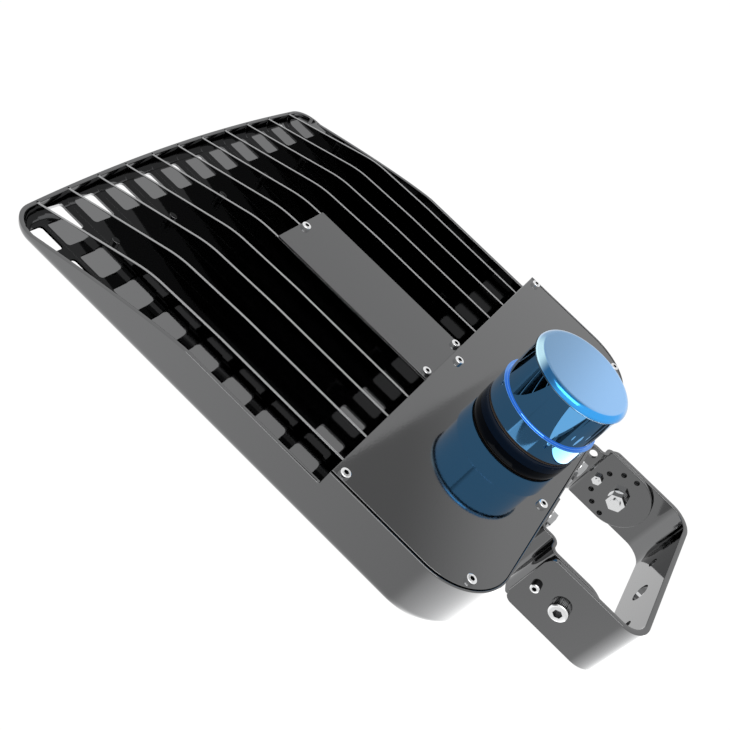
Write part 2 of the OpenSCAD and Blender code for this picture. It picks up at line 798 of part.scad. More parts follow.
// The surge protector and the terminal block stand side by side right of the receptacle
block_front = 60;
block_y = field_y - block_front;
block_gap = 12;
spd_w = 48;
spd_l = 30;
spd_h = 26;
spd_side = 55.5;
spd_x = half_w - spd_side;
spd_r = 4;

// Surge protector: potted block on the compartment floor
module surge_protector() {
  color(seal_black) translate([spd_x, block_y, floor_z]) linear_extrude(spd_h)
    rounded_rect(spd_w, spd_l, spd_r);
}

terminal_poles = 3;
terminal_pitch = 12;
terminal_w = terminal_poles * terminal_pitch;
terminal_l = 22;
terminal_h = 18;
terminal_x = spd_x - spd_w / 2 - block_gap - terminal_w;
terminal_bore_d = 5;
terminal_step = 5;

// Terminal block: one chamber with a clamp hole for each pole
module terminal_block() {
  color(board_white) translate([terminal_x, block_y - terminal_l / 2, floor_z]) difference() {
    union() {
      cube([terminal_w, terminal_l, terminal_h - terminal_step]);
      translate([0, terminal_step, 0]) cube([terminal_w, terminal_l - 2 * terminal_step, terminal_h]);
    }
    for (i = [1:terminal_poles]) translate([i * terminal_pitch - terminal_pitch / 2, 0, 0]) {
      translate([0, -cut, (terminal_h - terminal_step) / 2]) rotate([-90, 0, 0])
        cylinder(d = terminal_bore_d, h = terminal_l + 2 * cut);
      translate([0, terminal_l / 2, terminal_h / 2]) cylinder(d = terminal_bore_d, h = terminal_h);
    }
  }
}

// Light engine under the casting: board, packages, gasket, lens panel and frame
frame_wall_t = 3;
frame_gap = 0.4;
lip_h = 2.1;
lens_t = 2;
engine_z = under_z - engine_h;
lens_z = engine_z + lip_h;
seal_w = 8.5;
seal_z = lens_z + lens_t;
seal_w_out = engine_w - 2 * frame_wall_t - frame_gap;
seal_l_out = engine_l - 2 * frame_wall_t - frame_gap;
board_gap = 1;
board_w = seal_w_out - 2 * seal_w - board_gap;
board_l = seal_l_out - 2 * seal_w - board_gap;
corner_r = 6;
led_w = 5;
led_t = 0.8;
led_cols = 12;
led_rows = 6;
dome_h = 4;
dome_side = 5.5;
dome_end = 8.5;
led_pitch_x = (engine_w - 2 * engine_rail_w - 2 * dome_side - dome_d) / (led_cols - 1);
led_pitch_y = (engine_l - 2 * engine_rail_w - 2 * dome_end - dome_d) / (led_rows - 1);

module at_leds() {
  for (i = [0:led_cols - 1], j = [0:led_rows - 1])
    translate([(i - (led_cols - 1) / 2) * led_pitch_x, engine_y + (j - (led_rows - 1) / 2) * led_pitch_y])
      children();
}

module engine_plate(w, l, low, h, r = corner_r) {
  translate([0, engine_y, low]) linear_extrude(h) rounded_rect(w, l, r);
}

module engine_screw_holes(gap) {
  at_engine_screws() translate([0, 0, engine_z - cut])
    cylinder(d = engine_screw_d + gap, h = engine_h + 2 * cut);
}

module led_board() {
  color(board_white) difference() {
    engine_plate(board_w, board_l, under_z - board_t, board_t);
    translate([0, lead_hole_y, under_z - board_t - cut]) cylinder(d = lead_hole_d, h = board_t + 2 * cut);
  }
}

module leds() {
  color("#e9d25c") at_leds() translate([-led_w / 2, -led_w / 2, under_z - board_t - led_t])
    cube([led_w, led_w, led_t]);
}

module lens_gasket() {
  color(seal_black) difference() {
    engine_plate(seal_w_out, seal_l_out, seal_z, under_z - seal_z);
    engine_plate(seal_w_out - 2 * seal_w, seal_l_out - 2 * seal_w, seal_z - cut, under_z - seal_z + 2 * cut);
    engine_screw_holes(bolt_gap);
  }
}

module lens_panel() {
  dome_r = (pow(dome_d / 2, 2) + dome_h * dome_h) / (2 * dome_h);
  color(lens_clear) difference() {
    union() {
      engine_plate(seal_w_out, seal_l_out, lens_z, lens_t);
      intersection() {
        at_leds() translate([0, 0, lens_z + dome_r - dome_h]) sphere(r = dome_r);
        engine_plate(seal_w_out, seal_l_out, lens_z - 2 * dome_h, 2 * dome_h + lens_t / 2);
      }
    }
    engine_screw_holes(bolt_gap);
  }
}

module lens_frame() {
  inner_w = engine_w - 2 * engine_rail_w;
  inner_l = engine_l - 2 * engine_rail_w;
  color(casting_grey) difference() {
    engine_plate(engine_w, engine_l, engine_z, engine_h, corner_r + frame_wall_t);
    engine_plate(inner_w, inner_l, engine_z - cut, engine_h + 2 * cut);
    engine_plate(engine_w - 2 * frame_wall_t, engine_l - 2 * frame_wall_t, lens_z, engine_h);
    engine_screw_holes(bolt_gap);
  }
}

module lens_screws() {
  color(bright_steel) at_engine_screws() translate([0, 0, engine_z]) mirror([0, 0, 1])
    socket_screw(engine_screw_d, cover_head_d, cover_head_h,
                 engine_h + engine_screw_grip - cut, cover_socket);
}

// Twist-lock: three curved blades in curved slots, long enough for the locking turn
blade_r = 13.5;
blade_t = 1.6;
blade_angle = 28;
blade_l = 14;
slot_gap = 0.4;
slot_end = 3;
slot_depth = 13;
contact_t = 0.8;
contact_gap = 0.2;
contact_tail = 4;
contact_drop = 3;
blades = 3;

// Receptacle on the cover
receptacle_z = rim_z + turn_gap;
receptacle_top_z = rim_z + receptacle_h;
receptacle_edge_r = 2;
receptacle_edge_steps = 5;
receptacle_low_z = rim_z - receptacle_body_h;
oring_t = 2;
oring_inset = 3;
oring_d = receptacle_d - 2 * oring_inset;

module receptacle() {
  slot_r0 = blade_r - blade_t / 2 - slot_gap;
  contact_r0 = blade_r + blade_t / 2 + contact_gap;
  contact_r1 = contact_r0 + contact_t + contact_gap;
  rise = receptacle_top_z - receptacle_z;
  groove_d = oring_d - 2 * oring_t;
  color(seal_black) difference() {
    translate([0, photocell_y, 0]) union() {
      translate([0, 0, receptacle_z]) rotate_extrude() polygon(concat(
        [[0, 0], [receptacle_d / 2, 0]],
        arc([receptacle_d / 2 - receptacle_edge_r, receptacle_flange_h - receptacle_edge_r],
            receptacle_edge_r, 0, 90, receptacle_edge_steps),
        [[receptacle_neck_d / 2, receptacle_flange_h], [receptacle_neck_d / 2, rise], [0, rise]]));
      translate([0, 0, receptacle_low_z]) cylinder(d = receptacle_body_d, h = receptacle_body_h + rise / 2);
    }
    translate([0, photocell_y, receptacle_z - cut]) ring(oring_d, groove_d, oring_t / 2 + cut);
    for (i = [0:blades - 1]) translate([0, photocell_y, 0]) rotate([0, 0, i * 360 / blades]) {
      translate([0, 0, receptacle_top_z - slot_depth])
        ring_sector(slot_r0, contact_r1, -blade_angle / 2 - slot_end,
                    blade_angle / 2 + twist_angle + slot_end, slot_depth + cut);
      translate([0, 0, receptacle_low_z - cut])
        ring_sector(contact_r0, contact_r1, -blade_angle / 2, blade_angle / 2, receptacle_body_h + rise);
    }
  }
}

module receptacle_gasket() {
  color(seal_black) translate([0, photocell_y, rim_z + turn_gap / 2])
    ring(oring_d - running_gap, oring_d - 2 * oring_t + running_gap, oring_t / 2);
}

// Retaining ring under the cover
module receptacle_ring() {
  color(seal_black) translate([0, photocell_y, cover_z - turn_gap - ring_h])
    ring(ring_d, receptacle_body_d + running_gap, ring_h);
}

module receptacle_contacts() {
  contact_r0 = blade_r + blade_t / 2 + 2 * contact_gap;
  low = receptacle_low_z - contact_tail;
  color("#c9a24a") translate([0, photocell_y, low]) for (i = [0:blades - 1]) rotate([0, 0, i * 360 / blades])
    ring_sector(contact_r0, contact_r0 + contact_t - contact_gap, slot_end - blade_angle / 2,
                blade_angle / 2 - slot_end, receptacle_top_z - low - contact_drop);
}

// Photocell on the receptacle
cell_z = receptacle_top_z + photocell_gasket_t;
cell_base_t = 4;
cell_ring_d = (cap_d + skirt_d) / 2;
cap_edge_steps = 8;
cell_ring_h = 2;
cell_edge_r = 3;
cell_bore_d = 36;
seal_groove = 1;
post_d = 6;
post_h = 6;
post_r = 26;
post_count = 3;
cell_board_d = 66;
cell_board_t = 1.6;
sensor_d = 12;
sensor_h = 5;

module photocell_base() {
  color(seal_black) translate([0, photocell_y, cell_z]) {
    cylinder(d = skirt_d - 2 * cap_t - running_gap, h = cell_base_t);
    for (i = [0:post_count - 1]) rotate([0, 0, i * 360 / post_count]) translate([post_r, 0, cell_base_t / 2])
      cylinder(d = post_d, h = cell_base_t / 2 + post_h);
  }
}

module photocell_gasket() {
  lip = photocell_gasket_t / 2 - seal_groove / 2;
  d = skirt_d - 2 * seal_groove;
  color(seal_black) translate([0, photocell_y, receptacle_top_z + turn_gap]) difference() {
    rotate_extrude() polygon([[0, 0], [d / 2, 0], [d / 2, lip], [d / 2 - seal_groove, lip],
      [d / 2 - seal_groove, lip + seal_groove], [d / 2, lip + seal_groove],
      [d / 2, photocell_gasket_t - turn_gap], [0, photocell_gasket_t - turn_gap]]);
    translate([0, 0, -cut]) cylinder(d = cell_bore_d, h = photocell_gasket_t + 2 * cut);
  }
}

module photocell_blades() {
  color("#c9a24a") translate([0, photocell_y, cell_z - blade_l]) for (i = [0:blades - 1])
    rotate([0, 0, i * 360 / blades]) ring_sector(blade_r - blade_t / 2, blade_r + blade_t / 2,
      -blade_angle / 2, blade_angle / 2, blade_l);
}

module photocell_board() {
  color("#2f7d4f") translate([0, photocell_y, cell_z + cell_base_t + post_h]) {
    cylinder(d = cell_board_d, h = cell_board_t);
    translate([0, 0, cell_board_t]) cylinder(d = sensor_d, h = sensor_h);
  }
}

// Cap of the photocell: skirt, ring, and a clear dome with a flat top
module photocell_dome() {
  top_r = cap_d / 2 - cell_edge_r;
  color(dome_blue, 0.75) translate([0, photocell_y, cell_z]) difference() {
    rotate_extrude() polygon(concat(
      [[0, 0], [skirt_d / 2, 0], [skirt_d / 2, skirt_h - cell_ring_h], [cell_ring_d / 2, skirt_h],
       [cell_ring_d / 2, skirt_h + cell_ring_h], [cap_d / 2, skirt_h + cell_ring_h]],
      arc([top_r, photocell_h - cell_edge_r], cell_edge_r, 0, 90, cap_edge_steps), [[0, photocell_h]]));
    translate([0, 0, -cut]) cylinder(d = skirt_d - 2 * cap_t, h = skirt_h - cell_ring_h + cut - cap_t / 2);
    translate([0, 0, -cut]) cylinder(d = cap_d - 2 * cap_t, h = photocell_h - cap_t + cut);
  }
}

yoke();
pivot_bolts();
pivot_washers();
pivot_nuts();
index_bolts();
index_nuts();
left_ear();
right_ear();
ear_bolts();
ear_washers();
housing();
cable_grommet();
wireway_grommet();
wireway_cover();
wireway_cover_screws();
driver_cover();
driver_cover_gasket();
driver_cover_screws();
led_driver();
led_driver_screws();
surge_protector();
terminal_block();
led_board();
leds();
lens_gasket();
lens_panel();
lens_frame();
lens_screws();
receptacle();
receptacle_gasket();
receptacle_ring();
receptacle_contacts();
photocell_base();
photocell_gasket();
photocell_blades();
photocell_board();
photocell_dome();
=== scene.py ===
import bpy
import numpy as np
from mathutils import Matrix, Vector


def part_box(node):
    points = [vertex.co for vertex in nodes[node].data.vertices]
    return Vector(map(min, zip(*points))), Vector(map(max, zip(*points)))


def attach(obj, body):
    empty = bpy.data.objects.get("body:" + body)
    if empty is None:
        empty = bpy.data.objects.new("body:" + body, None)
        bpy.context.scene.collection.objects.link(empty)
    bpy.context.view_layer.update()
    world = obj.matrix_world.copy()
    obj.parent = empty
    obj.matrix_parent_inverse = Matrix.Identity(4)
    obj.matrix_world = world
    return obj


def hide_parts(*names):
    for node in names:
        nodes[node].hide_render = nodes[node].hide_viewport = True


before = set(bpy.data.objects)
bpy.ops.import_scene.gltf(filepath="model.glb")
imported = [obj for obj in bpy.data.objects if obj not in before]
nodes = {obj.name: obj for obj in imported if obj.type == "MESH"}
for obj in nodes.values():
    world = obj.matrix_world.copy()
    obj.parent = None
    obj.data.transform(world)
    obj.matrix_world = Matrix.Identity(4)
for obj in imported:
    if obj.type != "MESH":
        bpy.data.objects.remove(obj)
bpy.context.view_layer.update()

# The studio: a camera high beside the left flank and turned by 41 degrees, so that the head
# runs from the upper left to the lower right. All round it is white, as a product shot has it.
mm = 0.001
camera_at = Vector((-598.38, 200.30, 411.20)) * mm
camera_heading = 5.201
camera_fall = 36.018
camera_roll = 41.278
photo_px = 730
focal_px = 1013.89
sensor_w = 36.0


def placed(name, data):
    """New object at the origin, in the scene."""
    new = bpy.data.objects.new(name, data)
    bpy.context.scene.collection.objects.link(new)
    return new


forward = Vector((1, 0, 0))
forward.rotate(Matrix.Rotation(np.radians(camera_fall), 3, "Y"))
forward.rotate(Matrix.Rotation(np.radians(camera_heading), 3, "Z"))
camera = placed("camera", bpy.data.cameras.new("camera"))
camera.data.sensor_width = sensor_w
camera.data.lens = sensor_w * focal_px / photo_px
camera.data.clip_start = 10 * mm
camera.matrix_world = (Matrix.Translation(camera_at)
                       @ forward.to_track_quat("-Z", "Y").to_matrix().to_4x4()
                       @ Matrix.Rotation(np.radians(camera_roll), 4, "Z"))
bpy.context.scene.camera = camera
bpy.context.scene.view_settings.view_transform = "Standard"

# World: plain light for surfaces and white for the camera. What mirrors see is a white room with a
# grey end over the yoke, which starts at a straight edge and grows lighter towards the horizon,
# and with a bright panel low behind the yoke.
sky_light = 0.75
room_edge = (0.162, 0.9619, -0.2204)
room_edge_span = (-0.001, 0.001)
room_fade = (-0.162, -0.9619, -0.9796)
room_fade_span = (-0.72, -0.57)
room_grey = 0.47
horizon_span = (0.1, -0.1)
ahead_span = (-0.1, 0.34)
ahead_levels = (0.88, 1.25)
panel_way = (0.8, -0.6, 0.0)
panel_span = (-0.52, 0.6)
panel_level = 2.3
panel_top_span = (-0.52, -0.57)
panel_rear_span = (-0.1, -0.4)


def link(tree, *pairs):
    """Joins sockets, each pair from an output to an input."""
    for a, b in pairs:
        tree.links.new(a, b)


def node(tree, kind, **values):
    """New node whose inputs, or properties where no input has that name, get the values."""
    new = tree.nodes.new(kind)
    for key, value in values.items():
        if key in new.inputs:
            new.inputs[key].default_value = value
        else:
            setattr(new, key, value)
    return new


def ranged(tree, value, span, ends=(0.0, 1.0), kind="LINEAR"):
    """The value mapped from the span to the two ends, and kept between them."""
    names = ("From Min", "From Max", "To Min", "To Max")
    new = node(tree, "ShaderNodeMapRange", interpolation_type=kind, **dict(zip(names, (*span, *ends))))
    link(tree, (value, new.inputs["Value"]))
    return new.outputs["Result"]


def along(tree, vector, way):
    """How far the vector points along the way."""
    new = node(tree, "ShaderNodeVectorMath", operation="DOT_PRODUCT")
    new.inputs[1].default_value = way
    link(tree, (vector, new.inputs[0]))
    return new.outputs["Value"]


def maths(tree, operation, *values):
    """Result of a math node on the values, each a socket or a number."""
    new = node(tree, "ShaderNodeMath", operation=operation)
    for socket, value in zip(new.inputs, values):
        if isinstance(value, float):
            socket.default_value = value
        else:
            link(tree, (value, socket))
    return new.outputs["Value"]


def places(tree, kind):
    """The coordinates of that kind as a vector, and its x, y and z."""
    vector = node(tree, "ShaderNodeTexCoord").outputs[kind]
    parts = node(tree, "ShaderNodeSeparateXYZ")
    link(tree, (vector, parts.inputs[0]))
    return vector, dict(parts.outputs.items())


world = bpy.data.worlds.new("studio")
bpy.context.scene.world = world
world.use_nodes = True
tree = world.node_tree
tree.nodes.clear()
sky = node(tree, "ShaderNodeBackground", Color=(1, 1, 1, 1), Strength=sky_light)
seen = node(tree, "ShaderNodeBackground", Color=(1, 1, 1, 1), Strength=1.0)
room = node(tree, "ShaderNodeBackground", Strength=1.0)
way, parts = places(tree, "Generated")
band = maths(tree, "MAXIMUM", ranged(tree, along(tree, way, room_edge), room_edge_span),
             ranged(tree, along(tree, way, room_fade), room_fade_span, (room_grey, 1.0), "SMOOTHSTEP"))
panel = maths(tree, "MULTIPLY", ranged(tree, parts["Z"], panel_top_span, kind="SMOOTHSTEP"),
              ranged(tree, parts["Y"], panel_rear_span, kind="SMOOTHSTEP"))
low = maths(tree, "MULTIPLY_ADD", panel, ranged(tree, along(tree, way, panel_way), panel_span, (0.0, panel_level)),
            ranged(tree, parts["Y"], ahead_span, ahead_levels))
level = node(tree, "ShaderNodeMix", data_type="FLOAT", A=1.0)
path = node(tree, "ShaderNodeLightPath").outputs
first = node(tree, "ShaderNodeMixShader")
second = node(tree, "ShaderNodeMixShader")
out = node(tree, "ShaderNodeOutputWorld")
link(tree, (ranged(tree, parts["Z"], horizon_span), level.inputs["Factor"]), (low, level.inputs["B"]),
     (maths(tree, "MULTIPLY", level.outputs["Result"], band), room.inputs["Color"]),
     (maths(tree, "MAXIMUM", path["Is Glossy Ray"], path["Is Transmission Ray"]), first.inputs["Fac"]),
     (sky.outputs[0], first.inputs[1]), (room.outputs[0], first.inputs[2]),
     (path["Is Camera Ray"], second.inputs["Fac"]), (first.outputs[0], second.inputs[1]),
     (seen.outputs[0], second.inputs[2]), (second.outputs[0], out.inputs["Surface"]))

# Lamp: one broad soft panel above the left flank, pointed down at the head, so that edges and
# screws get a highlight.
lamp_w = 1.4
lamp_l = 1.0
lamp_power = 14.0
lamp_at = Vector((-0.9, 0.1, 1.5))
lamp_way = Vector((0.75, 0.1, -1.5))
lamp = placed("panel_lamp", bpy.data.lights.new("panel_lamp", "AREA"))
lamp.data.shape = "RECTANGLE"
lamp.data.size = lamp_w
lamp.data.size_y = lamp_l
lamp.data.energy = lamp_power
lamp.matrix_world = Matrix.Translation(lamp_at) @ lamp_way.to_track_quat("-Z", "Y").to_matrix().to_4x4()

# Floor: pale, well below the head, because the light hangs from its yoke. The camera sees it as
# nearly white, also through the lens, and mirrors don't see it.
floor_z = -0.75
floor_w = 14.0
floor_tone = (0.86, 0.86, 0.86, 1)
floor_glow = 1.05
floor_glow_share = 0.93
mesh = bpy.data.meshes.new("floor")
mesh.from_pydata([(i * floor_w, j * floor_w, floor_z) for i, j in ((-1, -1), (1, -1), (1, 1), (-1, 1))],
                 [], [(0, 1, 2, 3)])
floor = placed("floor", mesh)
paint = bpy.data.materials.new("floor_white")
paint.use_nodes = True
tree = paint.node_tree
tree.nodes.clear()
path = node(tree, "ShaderNodeLightPath").outputs
matt = node(tree, "ShaderNodeBsdfDiffuse", Color=floor_tone)
glow = node(tree, "ShaderNodeEmission", Color=(1, 1, 1, 1), Strength=floor_glow)
mix = node(tree, "ShaderNodeMixShader")
out = node(tree, "ShaderNodeOutputMaterial")
seen = maths(tree, "MAXIMUM", path["Is Camera Ray"], path["Is Transmission Ray"])
link(tree, (maths(tree, "MULTIPLY", seen, floor_glow_share), mix.inputs["Fac"]), (matt.outputs[0], mix.inputs[1]),
     (glow.outputs[0], mix.inputs[2]), (mix.outputs[0], out.inputs["Surface"]))
mesh.materials.append(paint)
floor.visible_glossy = False

# The casting: a shallow aluminium tray, die-cast in one piece, with a bowed front and rounded
# lower edge. Behind is the deep driver compartment, in front the low wall that falls to the rim.
# It is powder-coated in a dark gloss grey and the outside is nearly a mirror.
under_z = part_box("housing")[0].z
half_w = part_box("housing")[1].x
front_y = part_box("housing")[1].y
rear_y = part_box("housing")[0].y
field_l = 253.5 * mm
field_y = front_y - field_l
casting_h = 44 * mm
side_wall_h = 32 * mm
front_rim_h = 10 * mm
fin_h = 36 * mm
wall_t = 3 * mm
floor_t = 1.6 * mm
pad_t = 3 * mm
lower_r = 10 * mm
front_r = 20 * mm
rear_r = 46 * mm
front_bow = 8.5 * mm
seat_t = 7 * mm
seat_h = 40 * mm
lip_t = 1.3 * mm
cast_edge = 0.6 * mm
bow_r = (half_w ** 2 + front_bow ** 2) / (2 * front_bow)
bow_c = front_y - bow_r
front_cx = half_w - front_r
front_cy = bow_c + np.sqrt((bow_r - front_r) ** 2 - front_cx ** 2)
bow_angle = np.arcsin(front_cx / (bow_r - front_r))
side_level_l = 107 * mm
side_fall_l = 118 * mm
side_curve = 1.25
step_r = 1.5 * mm
floor_strip = 16 * mm
support = 0.7 * mm


def peel_group():
    """Node group for a sprayed coat: fine orange peel as a height, and a soft change of roughness."""
    group = bpy.data.node_groups.new("coat_peel", "ShaderNodeTree")
    for name, default in (("Grain", 900.0), ("Rough low", 0.05), ("Rough high", 0.09)):
        socket = group.interface.new_socket(name, in_out="INPUT", socket_type="NodeSocketFloat")
        socket.default_value = default
    for name in ("Height", "Roughness"):
        group.interface.new_socket(name, in_out="OUTPUT", socket_type="NodeSocketFloat")
    gin = group.nodes.new("NodeGroupInput")
    gout = group.nodes.new("NodeGroupOutput")
    at = node(group, "ShaderNodeTexCoord")
    fine = node(group, "ShaderNodeTexNoise", Detail=2.0, Roughness=0.5)
    broad = node(group, "ShaderNodeTexNoise", Scale=14.0, Detail=3.0, Roughness=0.6)
    change = ranged(group, broad.outputs["Fac"], (0.3, 0.7))
    link(group, (at.outputs["Object"], fine.inputs["Vector"]), (at.outputs["Object"], broad.inputs["Vector"]),
         (gin.outputs["Grain"], fine.inputs["Scale"]), (fine.outputs["Fac"], gout.inputs["Height"]),
         (gin.outputs["Rough low"], change.node.inputs["To Min"]),
         (gin.outputs["Rough high"], change.node.inputs["To Max"]), (change, gout.inputs["Roughness"]))
    return group


coat_peel = peel_group()


def material(name, colour, metallic, grain, rough, bump, **sockets):
    """Principled material with the peel group on its roughness and bump. The sockets are set on the shader."""
    mat = bpy.data.materials.new(name)
    mat.use_nodes = True
    tree = mat.node_tree
    shader = tree.nodes["Principled BSDF"]
    shader.inputs["Base Color"].default_value = (*colour, 1)
    shader.inputs["Metallic"].default_value = metallic
    for key, value in sockets.items():
        shader.inputs[key.replace("_", " ")].default_value = value
    peel = node(tree, "ShaderNodeGroup", node_tree=coat_peel)
    peel.inputs["Grain"].default_value = grain
    peel.inputs["Rough low"].default_value = rough[0]
    peel.inputs["Rough high"].default_value = rough[1]
    relief = node(tree, "ShaderNodeBump", Strength=bump, Distance=0.1 * mm)
    link(tree, (peel.outputs["Roughness"], shader.inputs["Roughness"]),
         (peel.outputs["Height"], relief.inputs["Height"]), (relief.outputs["Normal"], shader.inputs["Normal"]))
    return mat


casting_coat = material("casting_coat", (0.143, 0.144, 0.146), 1.0, 700.0, (0.03, 0.07), 0.05)


def grid_faces(rows, columns, round_rows=False, round_columns=False):
    """Quads that join each point of a grid to the next in its row and column. Round joins the last to the first."""
    row, column = np.arange(rows - (not round_rows)), np.arange(columns - (not round_columns))
    i, j = np.meshgrid(row, column, indexing="ij")
    ni, nj = (i + 1) % rows, (j + 1) % columns
    return np.stack([i * columns + j, ni * columns + j, ni * columns + nj, i * columns + nj], -1).reshape(-1, 4)


def smooth(mesh, sharp=35.0):
    """Smooth shading, but for edges sharper than the angle in degrees."""
    mesh.shade_smooth()
    mesh.set_sharp_from_angle(angle=np.radians(sharp))


def piece(name, points, faces, coat, body, sharp=35.0):
    """Mesh object at the origin, of one material, that rides on a body."""
    mesh = bpy.data.meshes.new(name)
    mesh.from_pydata(np.asarray(points).reshape(-1, 3).tolist(), [], [list(map(int, f)) for f in faces])
    mesh.materials.append(coat)
    smooth(mesh, sharp)
    new = placed(name, mesh)
    if body:
        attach(new, body)
    return new


def cut(blank, cutters):
    """Takes the cutters out of the blank, as a drill or a punch would, and leaves a plain mesh."""
    for cutter in cutters:
        knife = blank.modifiers.new("cut", "BOOLEAN")
        knife.operation = "DIFFERENCE"
        knife.solver = "EXACT"
        knife.object = cutter
    bpy.context.view_layer.update()
    mesh = bpy.data.meshes.new_from_object(blank.evaluated_get(bpy.context.evaluated_depsgraph_get()))
    blank.modifiers.clear()
    blank.data = mesh
    smooth(mesh)
    for cutter in cutters:
        bpy.data.objects.remove(cutter)


def arc(start, end, steps):
    """Angles from start to end in degrees, as radians, both ends included."""
    return np.radians(np.linspace(start, end, steps + 1))


def outline():
    """Centres, radii and directions of the plan, counter-clockwise from the right flank. Each point is
    its centre plus its radius less the inset, along its direction."""
    step_ys = field_y + np.array([-0.4, -0.05, 0.05, 0.3, 0.6, 1.0, 1.5, 2.5]) * mm
    fall_ys = np.linspace(field_y + side_level_l, field_y + side_level_l + side_fall_l, 30)
    flank = np.concatenate([[rear_y + rear_r], [rear_y + rear_r + 1 * mm], step_ys,
                            [field_y + side_level_l - 1 * mm], fall_ys, [front_cy - 1 * mm]])
    bow_deg = np.degrees(bow_angle)
    back_xs = np.array([-1, -0.98, 0.98, 1]) * (half_w - rear_r)
    parts = [
        (np.full(len(flank), half_w - rear_r), flank, rear_r, np.zeros(len(flank))),
        (front_cx, front_cy, front_r, arc(0, 90 - bow_deg, 16)),
        (0, bow_c, bow_r, arc(90 - bow_deg, 90 + bow_deg, 60)[1:-1]),
        (-front_cx, front_cy, front_r, arc(90 + bow_deg, 180, 16)),
        (np.full(len(flank), rear_r - half_w), flank[::-1], rear_r, np.full(len(flank), np.pi)),
        (rear_r - half_w, rear_y + rear_r, rear_r, arc(180, 270, 36)[1:]),
        (back_xs[1:-1], rear_y + rear_r, rear_r, np.full(2, 1.5 * np.pi)),
        (half_w - rear_r, rear_y + rear_r, rear_r, arc(270, 360, 36)[:-1]),
    ]
    rows = [np.broadcast_arrays(*map(np.asarray, p)) for p in parts]
    return [np.concatenate([r[k] for r in rows]) for k in range(4)]


def plan(inset, cx, cy, r, a):
    """Points of the plan, drawn inwards by the inset."""
    return cx + (r - inset) * np.cos(a), cy + (r - inset) * np.sin(a)


def wall_top(y):
    """Height of the outer wall: level at the compartment, a step down, level again, then a soft fall."""
    s = np.clip((y - field_y - side_level_l) / side_fall_l, 0, 1)
    side = side_wall_h - (side_wall_h - front_rim_h) * s ** side_curve
    run = np.clip(y - field_y, 0, step_r)
    side = side + step_r - np.sqrt(np.maximum(step_r ** 2 - (step_r - run) ** 2, 0))
    return np.where(y < field_y, casting_h, side)


def tray_skin():
    """Grid of the tray's wall. For each point of the plan there is a section, from the underside round
    the lower edge, up the wall, over its top and down the inside to the floor."""
    cx, cy, r, a = outline()
    outer_y = plan(0, cx, cy, r, a)[1]
    top = wall_top(outer_y)[:, None]
    inside = (outer_y < field_y)[:, None]
    turn = arc(0, 90, 12)[None, :]
    ones = np.ones((len(a), 1))
    edge = cast_edge
    brim = top - edge

    def bend(reach, drop):
        """Quarter ellipse of the lower edge about its own centre, kept below the brim of the wall."""
        z = np.minimum(lower_r - drop * np.cos(turn) * ones, brim)
        return lower_r - reach * np.sqrt(np.maximum(1 - ((lower_r - z) / drop) ** 2, 0)), z

    out_inset, out_z = bend(lower_r, lower_r)
    in_inset, in_z = bend(lower_r - wall_t, lower_r - floor_t)
    thick = np.where(inside, lip_t, wall_t)
    sweep = arc(0, 90, 4)[None, :]
    crown = [(0 * ones, np.maximum(brim - support, out_z[:, -1:])),
             (edge * (1 - np.cos(sweep)) * ones, brim + edge * np.sin(sweep)),
             (thick - edge * (1 - np.sin(sweep)), brim + edge * np.cos(sweep)),
             (thick * ones, np.maximum(brim - support, in_z[:, -1:]))]
    low = floor_t * ones
    seat = np.where(inside, seat_t, wall_t)
    lining = [(thick, np.where(inside, seat_h, np.maximum(brim - 2 * support, in_z[:, -1:]))),
              (seat, np.where(inside, seat_h, np.maximum(brim - 3 * support, in_z[:, -1:]))),
              (seat, np.where(inside, floor_t + support, in_z[:, -1:] + 0 * low)),
              (np.where(inside, seat_t, in_inset[:, ::-1]), np.where(inside, floor_t, in_z[:, ::-1]))]
    rows = ([(floor_strip * ones, 0 * ones), ((lower_r + support) * ones, 0 * ones), (out_inset, out_z)]
            + crown + lining + [((lower_r + support) * ones, low), (floor_strip * ones, low)])
    inset = np.hstack([np.broadcast_to(i, (len(a), np.broadcast(i, z).shape[1])) for i, z in rows])
    z = np.hstack([np.broadcast_to(z, (len(a), np.broadcast(i, z).shape[1])) for i, z in rows])
    x, y = plan(inset, cx[:, None], cy[:, None], r[:, None], a[:, None])
    return np.stack([x, y, under_z + z], -1)


def prism(loop, low, high):
    """Closed prism over a plan, given as an array of x and y."""
    n = len(loop)
    points = np.vstack([np.column_stack([loop, np.full(n, z)]) for z in (low, high)])
    faces = grid_faces(2, n, round_columns=True)[:, ::-1].tolist()
    return points, faces + [list(range(n))[::-1], list(range(n, 2 * n))]


def rounded_rect(x, y, w, l, r, steps=8):
    """Plan of a rectangle with round corners about x, y."""
    corners = [(1, 1, 0), (-1, 1, 90), (-1, -1, 180), (1, -1, 270)]
    return np.vstack([np.column_stack([x + sx * (w / 2 - r) + r * np.cos(arc(a, a + 90, steps)),
                                       y + sy * (l / 2 - r) + r * np.sin(arc(a, a + 90, steps))])
                      for sx, sy, a in corners])


def merged(parts):
    """One list of points and faces from several."""
    points, faces, start = [], [], 0
    for p, f in parts:
        p = np.asarray(p).reshape(-1, 3)
        points.append(p)
        faces += [[int(k) + start for k in face] for face in f]
        start += len(p)
    return np.vstack(points), faces


def rod(radius, start, end, steps=48):
    """Closed cylinder between two points, for a drill."""
    start, end = np.array(start, float), np.array(end, float)
    axis = (end - start) / np.linalg.norm(end - start)
    side = np.cross(axis, [0.3, 0.5, 0.9])
    side /= np.linalg.norm(side)
    turn = np.linspace(0, 2 * np.pi, steps, endpoint=False)[:, None]
    ring = radius * (np.cos(turn) * side + np.sin(turn) * np.cross(axis, side))
    faces = grid_faces(2, steps, round_columns=True)[:, ::-1].tolist()
    faces += [list(range(steps))[::-1], list(range(steps, 2 * steps))]
    return np.stack([start + ring, end + ring]), faces


